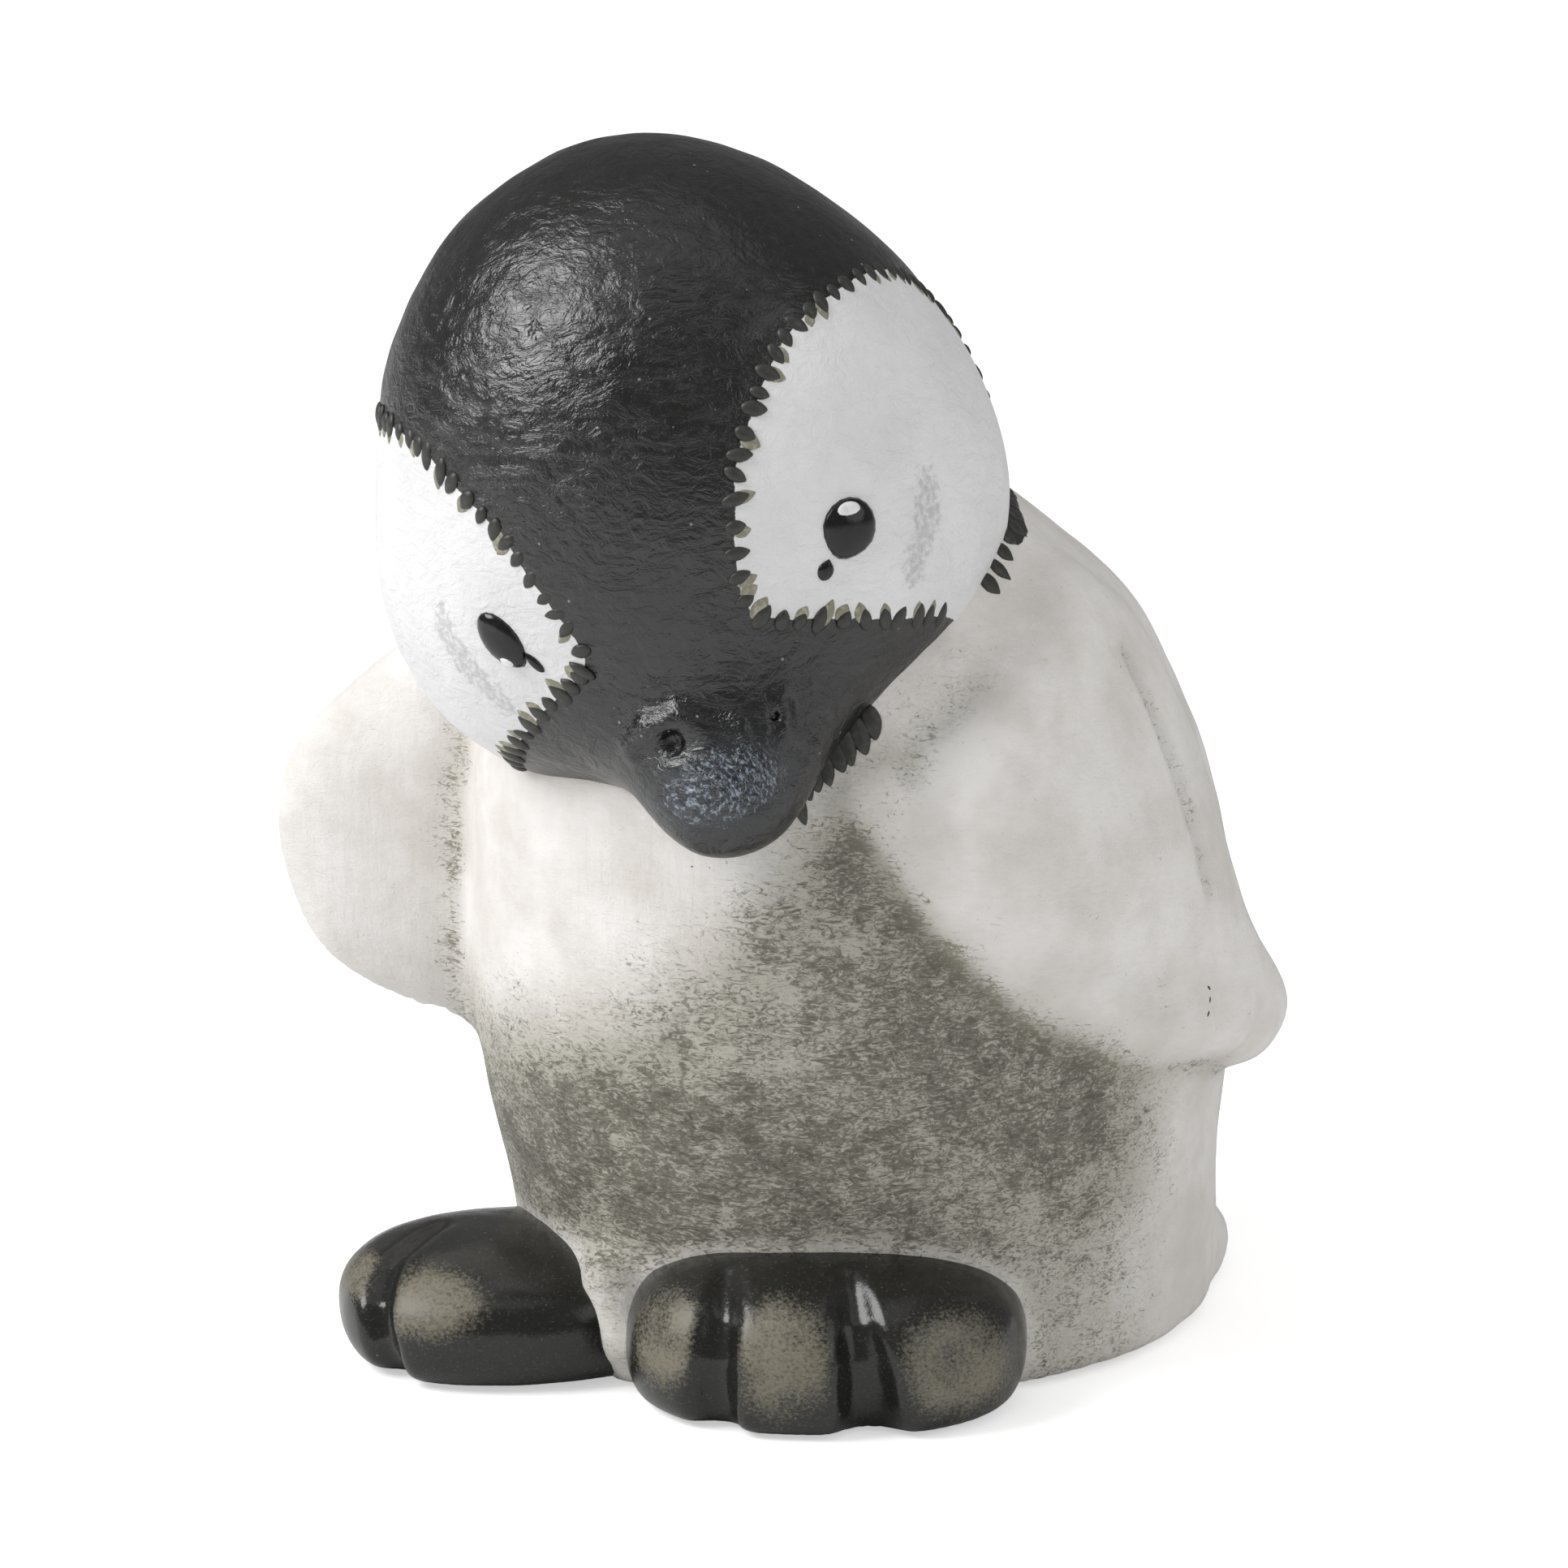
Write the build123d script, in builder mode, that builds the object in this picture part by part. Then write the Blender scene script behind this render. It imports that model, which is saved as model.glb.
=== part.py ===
from build123d import *
import math
import os

os.makedirs("parts", exist_ok=True)

# A penguin chick figurine, about 15 cm tall, cast in stone resin and painted.
# The chick faces -Y and its left side is +X. The floor is Z = 0 under the felt.
# Each casting is lofted or turned, hollow where the real one is hollow, and
# seated on its neighbour across a thin line of glue.

# Body casting
body_height = 110.0
body_half_width = 45.3
body_half_depth = 48.0
body_wall = 5.0
cavity_height = 60.0
sole_lift = 0.3
sole_edge = 1.6

# Head casting, an egg standing on its chin
head_radius = 36.9
crown_height = 41.6
chin_height = 35.5
head_wall = 6.0
head_sideways = -0.093 * body_half_width
head_forward = 0.5625 * body_half_depth
head_sink = 4.3
head_turn_angle = 27.0
head_nod = 18.0
head_tilt = 20.0

# Beak casting
beak_reach = 53.5
beak_half_width = 31.0
beak_half_height = 19.0
beak_droop = 27.0
beak_lift = 3.0

# Glass eyes
eye_radius = 3.8
eye_dome = 1.3
eye_shank = 4.0
left_eye_angle = 37.4
right_eye_angle = -30.4
eye_level = 3.0

# Flippers, from the shoulder to the tip
flipper_half_chord = 19.5
flipper_half_thickness = 10.5

# Feet, each a soft-cornered pad with two grooves between its three toes
left_foot_angle = 32.0
left_foot_height = 20.0
left_foot_half_width = 0.497 * body_half_width
right_foot_angle = -46.0
right_foot_height = 17.0
right_foot_half_width = 0.419 * body_half_width
foot_half_length = 21.0

# Tail
tail_half_width = 35.0
tail_half_length = 24.0
tail_height = 12.0
tail_back = 0.583 * body_half_depth

# Plate and felt that close the base
plate_thickness = 4.0
plate_fit = 0.3
felt_thickness = 1.2
felt_margin = 1.5

# Steel pins inside the joints
neck_pin_radius = 4.0
neck_pin_length = 17.0
neck_pin_back = 8.0
joint_pin_radius = 1.5
joint_pin_length = 11.0
beak_pin_out = 3.2
pin_cover = 2.5
left_foot_pin_back = 10.0
right_foot_pin_back = 18.0

# Fits
glue_line = 0.15
pin_fit = 0.1
overrun = 5.0

# Shapes as shares of the sizes above
# Body rings: height, sideways shift, backward shift, half width, half depth
body_ring_shares = (
    (0.00, 0.03, 0.02, 0.92, 0.93),
    (0.10, 0.03, 0.02, 0.93, 0.94),
    (0.20, 0.02, 0.02, 0.96, 0.97),
    (0.36, 0.00, -0.01, 1.00, 1.00),
    (0.51, -0.01, -0.04, 0.98, 0.98),
    (0.63, -0.02, -0.10, 0.91, 0.91),
    (0.73, -0.03, -0.18, 0.78, 0.78),
    (0.82, -0.04, -0.25, 0.65, 0.64),
    (0.90, -0.07, -0.33, 0.51, 0.48),
    (0.96, -0.07, -0.42, 0.35, 0.33),
    (1.00, -0.09, -0.46, 0.20, 0.19),
)
cavity_top_share = 0.55

# Control arm of an eye's quarter round, and the latitudes of the head's rings
round_arm_share = 0.5523
egg_ring_angles = (-84, -74, -60, -45, -30, -15, 0, 15, 30, 45, 60, 74, 84)

# Beak rings: reach, drop, half width, half height
beak_ring_shares = (
    (0.30, 0.10, 0.93, 0.92),
    (0.42, 0.10, 0.87, 0.84),
    (0.60, 0.09, 0.62, 0.64),
    (0.75, 0.09, 0.44, 0.51),
    (0.88, 0.09, 0.31, 0.39),
    (0.96, 0.10, 0.20, 0.25),
    (1.00, 0.10, 0.07, 0.08),
)

# Flipper places on the body: sideways, backward, upward, and the way each chord lies
left_shoulder_shares = (0.587, -0.319, 0.80)
left_tip_shares = (1.020, 0.436, 0.305)
left_chord_shares = (0.04, -0.91, -0.42)
right_shoulder_shares = (-0.795, -0.379, 0.80)
right_tip_shares = (-0.985, -0.571, 0.336)
right_chord_shares = (-0.82, -0.55, -0.15)

# Flipper rings: way to the tip, chord shift, half chord, half thickness
left_flipper_ring_shares = (
    (0.00, 0.00, 0.66, 0.72),
    (0.18, 0.00, 0.97, 0.93),
    (0.39, 0.00, 1.00, 1.00),
    (0.60, 0.00, 0.85, 0.84),
    (0.78, 0.00, 0.64, 0.62),
    (0.90, -0.02, 0.46, 0.46),
    (0.97, -0.04, 0.27, 0.28),
    (1.00, -0.05, 0.09, 0.10),
)
right_flipper_ring_shares = (
    (0.00, 0.05, 0.36, 0.57),
    (0.16, 0.15, 0.64, 0.62),
    (0.39, 0.26, 0.90, 0.67),
    (0.62, 0.23, 0.90, 0.57),
    (0.82, 0.08, 0.72, 0.48),
    (0.92, -0.03, 0.53, 0.37),
    (0.98, -0.08, 0.31, 0.24),
    (1.01, -0.10, 0.12, 0.10),
)
left_flipper_bow_share = 0.20
flipper_pin_shares = (0.24, 0.48)
left_pin_skin_share = 0.93
right_pin_reach_share = 0.18

# Foot places on the body's base
left_foot_shares = (0.640, -1.025, 0.0)
right_foot_shares = (-0.812, -1.119, 0.0)

# A foot's pad: how square it is, and the latitudes of its level rings
pad_power = 2.7
pad_rise_share = 0.4
pad_half_height_share = 0.6
pad_ring_angles = (-50, -30, -12, 8, 28, 48, 66, 80)
pad_outline_angles = tuple(range(0, 360, 15))

# Groove places on a pad, from the top down: sideways, forward, upward, radius
left_groove_shares = (
    ((-0.567, 0.567, 0.885, 0.03), (-0.600, 0.850, 0.660, 0.09), (-0.655, 0.840, 0.150, 0.14)),
    ((0.090, 0.633, 0.930, 0.03), (0.150, 0.950, 0.620, 0.12), (0.190, 0.930, 0.060, 0.19)),
)
right_groove_shares = (
    ((0.185, 0.520, 0.960, 0.03), (0.470, 0.865, 0.690, 0.08), (0.600, 0.870, 0.180, 0.10)),
    ((-0.185, 0.520, 0.960, 0.03), (-0.470, 0.865, 0.690, 0.08), (-0.600, 0.870, 0.180, 0.10)),
)
foot_pin_rise_share = 0.5
foot_pin_side_share = 0.3

# Tail rings: height, half width, half length
tail_ring_shares = (
    (0.00, 1.00, 1.00),
    (0.45, 0.96, 0.95),
    (0.80, 0.72, 0.72),
    (1.00, 0.36, 0.36),
)


def body_place(shares):
    """A point given as shares of the body's half width, half depth and height."""
    sideways, backward, upward = shares
    return Vector(sideways * body_half_width, backward * body_half_depth, upward * body_height)


def body_ring(shares, grow):
    """One level ellipse of the body, grown or shrunk by a fixed amount."""
    height, sideways, backward, half_width, half_depth = shares
    with BuildSketch(Plane.XY.offset(height * body_height)) as ring:
        with Locations((sideways * body_half_width, backward * body_half_depth)):
            Ellipse(half_width * body_half_width + grow, half_depth * body_half_depth + grow)
    return ring.sketch


def body_form(grow):
    """The whole body as one closed form, from the floor to inside the head."""
    rings = [body_ring(shares, grow) for shares in body_ring_shares]
    with BuildPart() as form:
        add(rings)
        loft()
    return form.part


def quarter_round(half_width, height, arm):
    """A rounded quarter from its widest point at the side to its pole on the axis."""
    return Bezier((half_width, 0), (half_width, arm * height), (arm * half_width, height), (0, height))


def egg_form(grow):
    """The head's egg, lofted through level rings of the tilted head and flat at the poles."""
    with BuildPart() as form:
        for angle in egg_ring_angles:
            half_height = (crown_height if angle > 0 else chin_height) + grow
            rise = half_height * math.sin(math.radians(angle))
            with BuildSketch(Plane(origin=head_centre + head_top * rise, x_dir=head_left, z_dir=head_top)):
                Circle((head_radius + grow) * math.cos(math.radians(angle)))
        loft()
    return form.part


def ring_loft(planes, ellipses):
    """A form lofted through ellipses, each given as sideways, upward, half width, half height."""
    with BuildPart() as form:
        for plane, (sideways, upward, half_width, half_height) in zip(planes, ellipses):
            with BuildSketch(plane):
                with Locations((sideways, upward)):
                    Ellipse(half_width, half_height)
        loft()
    return form.part


def flipper_form(shoulder, tip, chord_shares, ring_shares, bow_share):
    """A flipper lofted from the shoulder to the tip, bowed outwards to follow the body."""
    line = tip - shoulder
    way = line.normalized()
    side = square_to(Vector(chord_shares), way)
    planes = [Plane(origin=shoulder + line * along, x_dir=side, z_dir=way) for along, *_ in ring_shares]
    ellipses = [
        (
            shift * flipper_half_chord,
            -bow_share * flipper_half_thickness * math.sin(math.pi * along),
            wide * flipper_half_chord,
            thick * flipper_half_thickness,
        )
        for along, shift, wide, thick in ring_shares
    ]
    return ring_loft(planes, ellipses)


def soft_corner(share):
    """A sine or cosine stretched so that circles turn into soft-cornered squares."""
    return math.copysign(abs(share) ** (2 / pad_power), share)


def pad_form(centre, way, half_width, half_height):
    """A block with soft corners, lofted through level rings."""
    side = upright.cross(way)
    rings = []
    for ring_angle in pad_ring_angles:
        rise = half_height * soft_corner(math.sin(math.radians(ring_angle)))
        shrink = soft_corner(math.cos(math.radians(ring_angle)))
        outline = [
            (
                shrink * half_width * soft_corner(math.cos(math.radians(angle))),
                shrink * foot_half_length * soft_corner(math.sin(math.radians(angle))),
            )
            for angle in pad_outline_angles
        ]
        with BuildSketch(Plane(origin=centre + upright * rise, x_dir=side, z_dir=upright)) as ring:
            with BuildLine():
                Spline(outline, periodic=True)
            make_face()
        rings.append(ring.sketch)
    with BuildPart() as form:
        add(rings)
        loft()
    return form.part


def groove_forms(places, radii):
    """Round bars along a bent line, thicker from corner to corner, with a ball at each corner."""
    forms = []
    for start, end, first, last in zip(places, places[1:], radii, radii[1:]):
        run = end - start
        with BuildPart() as bar:
            for centre, radius in ((start, first), (end, last)):
                with BuildSketch(Plane(origin=centre, z_dir=run)):
                    Circle(radius)
            loft(ruled=True)
        with BuildPart() as ball:
            with Locations(end):
                Sphere(last)
        forms += [bar.part, ball.part]
    return forms


def foot_form(tip, turn, height, half_width, groove_shares):
    """A foot cut flat at the sole, with its toes parted by grooves."""
    way = flat_direction(turn)
    side = upright.cross(way)
    middle = tip - way * foot_half_length
    half_height = pad_half_height_share * height
    pad = pad_form(middle + upright * (pad_rise_share * height), way, half_width, half_height)
    with BuildPart() as form:
        add(pad)
        for groove in groove_shares:
            places = []
            for sideways, ahead, high, _ in groove:
                place = middle + side * (sideways * half_width) + upright * (high * height)
                places.append(place + way * (ahead * foot_half_length))
            for cut in groove_forms(places, [thick * height for *_, thick in groove]):
                add(cut, mode=Mode.SUBTRACT)
        add(below_floor, mode=Mode.SUBTRACT)
        add(body_seat, mode=Mode.SUBTRACT)
    return form.part


def square_to(side, way):
    """The part of side that is square to way, at length one."""
    return (side - way * side.dot(way)).normalized()


def flat_direction(turn):
    """A level direction, turned from straight ahead towards the chick's left."""
    angle = math.radians(turn)
    return Vector(math.sin(angle), -math.cos(angle), 0)


def pin_form(outer_end, inward, radius, length, fit=0.0):
    """A round pin from its outer end inwards, or its hole when a fit is given."""
    with BuildPart() as pin:
        with BuildSketch(Plane(origin=outer_end - inward * fit, z_dir=inward)):
            Circle(radius + fit)
        extrude(amount=length + 2 * fit)
    return pin.part


# Head axes: turned about the upright, nodded about its left side, tilted about its face
still_point = Vector(0, 0, 0)
upright = Vector(0, 0, 1)
head_face = flat_direction(head_turn_angle)
head_left = upright.cross(head_face)
nod_axis = Axis(still_point, head_left)
head_face = head_face.rotate(nod_axis, head_nod)
head_top = upright.rotate(nod_axis, head_nod)
tilt_axis = Axis(still_point, head_face)
head_left = head_left.rotate(tilt_axis, head_tilt)
head_top = head_top.rotate(tilt_axis, head_tilt)
head_centre = Vector(head_sideways, -head_forward, body_height - head_sink)

# Where the flippers and feet start and end
left_shoulder = body_place(left_shoulder_shares)
left_flipper_tip = body_place(left_tip_shares)
right_shoulder = body_place(right_shoulder_shares)
right_flipper_tip = body_place(right_tip_shares)
left_foot_tip = body_place(left_foot_shares)
right_foot_tip = body_place(right_foot_shares)

# Forms that neighbours share, so that each joint is cut to the other's surface
body_outer = body_form(0)
body_seat = body_form(glue_line)
head_outer = egg_form(0)
head_seat = egg_form(glue_line)
with BuildPart() as floor_block:
    with BuildSketch(Plane.XY.offset(sole_lift)):
        Rectangle(2 * body_height, 2 * body_height)
    extrude(amount=-body_height)
below_floor = floor_block.part

# Where the pins start, and which way they go in
neck_start = head_centre - head_top * (chin_height - neck_pin_length / 2) - head_face * neck_pin_back
beak_axis = Axis(still_point, head_left)
beak_way = head_face.rotate(beak_axis, beak_droop)
beak_up = head_top.rotate(beak_axis, beak_droop)
beak_root = head_centre + head_top * beak_lift
beak_drop = beak_ring_shares[0][1] * beak_half_height
beak_pin_start = beak_root + beak_way * (head_radius + beak_pin_out) - beak_up * beak_drop
pin_places = {
    "neck_pin": [(neck_start, -head_top, neck_pin_radius, neck_pin_length)],
    "beak_pin": [(beak_pin_start, -beak_way, joint_pin_radius, joint_pin_length)],
    "flipper_pins": [],
    "foot_pins": [],
}
left_line = left_flipper_tip - left_shoulder
left_way = left_line.normalized()
left_in = left_way.cross(square_to(Vector(left_chord_shares), left_way))
right_line = right_flipper_tip - right_shoulder
right_in = -square_to(Vector(right_chord_shares), right_line.normalized())
for share in flipper_pin_shares:
    bow = left_flipper_bow_share * math.sin(math.pi * share)
    skin = (bow + left_pin_skin_share) * flipper_half_thickness
    start = left_shoulder + left_line * share - left_in * (skin - pin_cover)
    pin_places["flipper_pins"].append((start, left_in, joint_pin_radius, joint_pin_length))
    start = right_shoulder + right_line * share - right_in * (right_pin_reach_share * flipper_half_chord)
    pin_places["flipper_pins"].append((start, right_in, joint_pin_radius, joint_pin_length))
for tip, turn, height, half_width, back in (
    (left_foot_tip, left_foot_angle, left_foot_height, left_foot_half_width, left_foot_pin_back),
    (right_foot_tip, right_foot_angle, right_foot_height, right_foot_half_width, right_foot_pin_back),
):
    way = flat_direction(turn)
    side = upright.cross(way) * (foot_pin_side_share * half_width)
    start = tip - way * back + upright * (foot_pin_rise_share * height)
    pin_places["foot_pins"].append((start + side, -way, joint_pin_radius, joint_pin_length))
    pin_places["foot_pins"].append((start - side, -way, joint_pin_radius, joint_pin_length))

# Pins and the holes that take them
pin_holes = [pin_form(*pin, pin_fit) for pins in pin_places.values() for pin in pins]
for name, pins in pin_places.items():
    pin_forms = [pin_form(*pin) for pin in pins]
    with BuildPart() as pin_set:
        add(pin_forms)
    pin_set.part.label = name
    export_step(pin_set.part, f"parts/{name}.step")

# Cavities of the two hollow castings
lower_rings = [shares for shares in body_ring_shares if shares[0] * body_height < cavity_height]
_, *top_shift, top_width, top_depth = lower_rings[-1]
top_size = (cavity_top_share * top_width, cavity_top_share * top_depth)
top_shares = (cavity_height / body_height, *top_shift, *top_size)
cavity_rings = [body_ring(shares, -body_wall) for shares in lower_rings]
cavity_rings.append(body_ring(top_shares, 0))
with BuildPart() as body_cavity:
    add(cavity_rings)
    loft()
head_cavity = egg_form(-head_wall)

# Body casting: open at the base, with a socket for the head
with BuildPart() as body_shell:
    add(body_outer)
    fillet(body_shell.edges().sort_by(Axis.Z)[0], radius=sole_edge)
    add(below_floor, mode=Mode.SUBTRACT)
    add(head_seat, mode=Mode.SUBTRACT)
    add(body_cavity.part, mode=Mode.SUBTRACT)
    for hole in pin_holes:
        add(hole, mode=Mode.SUBTRACT)
body_shell.part.label = "body_shell"
export_step(body_shell.part, "parts/body_shell.step")

# Eyes: beads with a domed front on a short shank
eye_ring_radius = head_radius * math.sqrt(1 - (eye_level / crown_height) ** 2)
eye_rise = head_top * (eye_level / crown_height**2)
eye_planes = {}
for name, degrees in (("eye_left", left_eye_angle), ("eye_right", right_eye_angle)):
    angle = math.radians(degrees)
    outward = head_left * math.sin(angle) + head_face * math.cos(angle)
    centre = head_centre + head_top * eye_level + outward * eye_ring_radius
    normal = (outward * (eye_ring_radius / head_radius**2) + eye_rise).normalized()
    eye_planes[name] = Plane(origin=centre, x_dir=square_to(head_top, normal), z_dir=normal)
for name, plane in eye_planes.items():
    profile_plane = Plane(origin=plane.origin, x_dir=plane.x_dir, z_dir=plane.x_dir.cross(plane.z_dir))
    with BuildPart() as eye:
        with BuildSketch(profile_plane):
            with BuildLine():
                dome = quarter_round(eye_radius, eye_dome, round_arm_share)
                Polyline(dome @ 1, (0, -eye_shank), (eye_radius, -eye_shank), dome @ 0)
            make_face()
        revolve(axis=Axis(profile_plane.origin, profile_plane.y_dir))
    eye.part.label = name
    export_step(eye.part, f"parts/{name}.step")

# Head casting: a hollow egg with sockets for the eyes
with BuildPart() as head_shell:
    add(head_outer)
    add(head_cavity, mode=Mode.SUBTRACT)
    for plane in eye_planes.values():
        with BuildSketch(plane.offset(-eye_shank - glue_line)):
            Circle(eye_radius + pin_fit)
        extrude(amount=eye_shank + overrun, mode=Mode.SUBTRACT)
    for hole in pin_holes:
        add(hole, mode=Mode.SUBTRACT)
head_shell.part.label = "head_shell"
export_step(head_shell.part, "parts/head_shell.step")

# Beak casting, hollowed at the back to the head's curve
beak_planes = [
    Plane(origin=beak_root + beak_way * (reach * beak_reach), x_dir=head_left, z_dir=beak_way)
    for reach, *_ in beak_ring_shares
]
beak_ellipses = [
    (0, -drop * beak_half_height, wide * beak_half_width, high * beak_half_height)
    for _, drop, wide, high in beak_ring_shares
]
beak_whole = ring_loft(beak_planes, beak_ellipses)
with BuildPart() as beak:
    add(beak_whole)
    add(head_seat, mode=Mode.SUBTRACT)
    add(body_seat, mode=Mode.SUBTRACT)
    for hole in pin_holes:
        add(hole, mode=Mode.SUBTRACT)
beak.part.label = "beak"
export_step(beak.part, "parts/beak.step")

# Flippers, each cut to the body and clear of the head
flippers = {
    "flipper_left": flipper_form(
        left_shoulder, left_flipper_tip, left_chord_shares, left_flipper_ring_shares, left_flipper_bow_share
    ),
    "flipper_right": flipper_form(
        right_shoulder, right_flipper_tip, right_chord_shares, right_flipper_ring_shares, 0
    ),
}
for name, form in flippers.items():
    with BuildPart() as flipper:
        add(form)
        add(body_seat, mode=Mode.SUBTRACT)
        add(head_seat, mode=Mode.SUBTRACT)
        for hole in pin_holes:
            add(hole, mode=Mode.SUBTRACT)
    flipper.part.label = name
    export_step(flipper.part, f"parts/{name}.step")

# Feet
feet = {
    "foot_left": foot_form(
        left_foot_tip, left_foot_angle, left_foot_height, left_foot_half_width, left_groove_shares
    ),
    "foot_right": foot_form(
        right_foot_tip, right_foot_angle, right_foot_height, right_foot_half_width, right_groove_shares
    ),
}
for name, form in feet.items():
    with BuildPart() as foot:
        add(form)
        for hole in pin_holes:
            add(hole, mode=Mode.SUBTRACT)
    foot.part.label = name
    export_step(foot.part, f"parts/{name}.step")

# Tail, a low stub behind the base
tail_planes = [Plane.XY.offset(high * tail_height) for high, *_ in tail_ring_shares]
tail_ellipses = [
    (0, tail_back, wide * tail_half_width, long * tail_half_length) for _, wide, long in tail_ring_shares
]
tail_whole = ring_loft(tail_planes, tail_ellipses)
with BuildPart() as tail:
    add(tail_whole)
    add(below_floor, mode=Mode.SUBTRACT)
    add(body_seat, mode=Mode.SUBTRACT)
tail.part.label = "tail"
export_step(tail.part, "parts/tail.step")

# Plate that plugs the base, and the felt under it
base_ring = body_ring_shares[0]
plate_sketch = body_ring(base_ring, -body_wall - plate_fit)
felt_sketch = body_ring(base_ring, -body_wall - felt_margin)
with BuildPart() as base_plate:
    add(plate_sketch.moved(Location((0, 0, felt_thickness + glue_line))))
    extrude(amount=plate_thickness)
base_plate.part.label = "base_plate"
export_step(base_plate.part, "parts/base_plate.step")
with BuildPart() as base_felt:
    add(felt_sketch)
    extrude(amount=felt_thickness)
base_felt.part.label = "base_felt"
export_step(base_felt.part, "parts/base_felt.step")
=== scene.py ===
"""A painted penguin chick figurine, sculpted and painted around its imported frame.

Lengths in the sculpting code are millimetres in the frame's own axes: the chick faces -Y,
its left is +X and +Z is up. They become metres when a mesh is made.
"""

import logging
import math
from dataclasses import dataclass, field
from enum import Enum
from typing import Callable, Iterable, Sequence

import bpy
import numpy as np
from mathutils import Matrix


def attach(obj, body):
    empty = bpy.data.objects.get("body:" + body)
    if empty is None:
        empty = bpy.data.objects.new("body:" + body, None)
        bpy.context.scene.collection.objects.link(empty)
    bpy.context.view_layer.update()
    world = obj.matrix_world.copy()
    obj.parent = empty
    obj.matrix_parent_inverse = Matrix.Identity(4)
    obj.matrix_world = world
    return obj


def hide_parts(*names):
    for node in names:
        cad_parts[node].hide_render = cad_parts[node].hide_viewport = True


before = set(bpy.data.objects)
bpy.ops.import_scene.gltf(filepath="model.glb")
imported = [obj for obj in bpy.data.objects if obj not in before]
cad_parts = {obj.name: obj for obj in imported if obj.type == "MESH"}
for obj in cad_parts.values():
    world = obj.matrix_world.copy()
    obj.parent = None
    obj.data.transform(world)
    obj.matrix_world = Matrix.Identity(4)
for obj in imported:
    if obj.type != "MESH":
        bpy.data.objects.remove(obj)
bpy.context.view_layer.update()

log = logging.getLogger("penguin_chick")

MM = 0.001
ROOT = "root"
Field = Callable[[np.ndarray], np.ndarray]
Socket = bpy.types.NodeSocket
Colour = tuple[float, ...]
Range = tuple[float, float]
Pixel = tuple[float, float]
Place = tuple[float, float, float]
Drawn = tuple[tuple[Pixel, ...], tuple[float, ...]]
Oval = tuple[float, float, float, float, float]
Rows = tuple[tuple[float, ...], ...]
Touch = tuple[Pixel, Pixel, float]


# Sculpting


def unit(vector: Iterable[float]) -> np.ndarray:
    """The same direction at length one."""
    vector = np.asarray(vector, float)
    return vector / np.linalg.norm(vector)


def smooth_union(first: np.ndarray, second: np.ndarray, width: float) -> np.ndarray:
    """Join two distance fields with a fillet about as wide as given."""
    share = np.maximum(width - np.abs(first - second), 0.0) / width
    return np.minimum(first, second) - share * share * width / 4


def smooth_overlap(first: np.ndarray, second: np.ndarray, width: float) -> np.ndarray:
    """Keep what two distance fields share, with a rounded edge."""
    return -smooth_union(-first, -second, width)


def ease(low: float, high: float, values: np.ndarray) -> np.ndarray:
    """A soft step from 0 at low to 1 at high."""
    share = np.clip((values - low) / (high - low), 0.0, 1.0)
    return share * share * (3 - 2 * share)


def fading(distance: np.ndarray, reach: float) -> np.ndarray:
    """1 on a surface and inside it, fading away within about the reach beyond it."""
    return np.exp(-((np.maximum(distance, 0) / reach) ** 2))


def soft_noise(points: np.ndarray, size: float, seed: int) -> np.ndarray:
    """Smooth lumps between -1 and 1.

    Args:
        points: Places to look at, one row each.
        size: The width of a lump.
        seed: A whole number that picks the pattern.

    Returns:
        One value for each point.
    """
    scaled = points / size
    cell = np.floor(scaled).astype(np.int64)
    part = scaled - cell
    part = part * part * (3 - 2 * part)
    total = np.zeros(len(points))
    for corner in range(8):
        step = np.array([corner & 1, corner >> 1 & 1, corner >> 2 & 1])
        mixed = (cell + step) @ np.array([73856093, 19349663, 83492791]) + seed * 2654435761
        mixed = (mixed ^ (mixed >> 13)) * 1274126177 & 0xFFFFFFFF
        value = ((mixed ^ (mixed >> 16)) & 0xFFFF) / 32767.5 - 1
        weight = np.prod(np.where(step == 1, part, 1 - part), axis=1)
        total += value * weight
    return total


def natural_curve(stations: np.ndarray, values: np.ndarray) -> tuple[np.ndarray, np.ndarray]:
    """A smooth curve through a few values, sampled finely.

    Args:
        stations: Where along the curve each value stands.
        values: The values.

    Returns:
        The fine stations, and the curve's value at each.
    """
    count = len(stations)
    gap = np.diff(stations)
    matrix = np.eye(count)
    right = np.zeros(count)
    for index in range(1, count - 1):
        matrix[index, index - 1 : index + 2] = (gap[index - 1], 2 * (gap[index - 1] + gap[index]), gap[index])
        slopes = np.diff(values)[index - 1 : index + 1] / gap[index - 1 : index + 1]
        right[index] = 6 * (slopes[1] - slopes[0])
    bend = np.linalg.solve(matrix, right)
    fine = np.linspace(stations[0], stations[-1], 1201)
    left = np.clip(np.searchsorted(stations, fine) - 1, 0, count - 2)
    width = gap[left]
    past, ahead = fine - stations[left], stations[left + 1] - fine
    curve = (bend[left] * ahead**3 + bend[left + 1] * past**3) / (6 * width)
    curve += (values[left] / width - bend[left] * width / 6) * ahead
    curve += (values[left + 1] / width - bend[left + 1] * width / 6) * past
    return fine, curve


class Form:
    """A solid known by its distance field, which is negative inside."""

    def distance(self, points: np.ndarray) -> np.ndarray:
        """The signed distance of each point from the form's surface."""
        raise NotImplementedError


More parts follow.
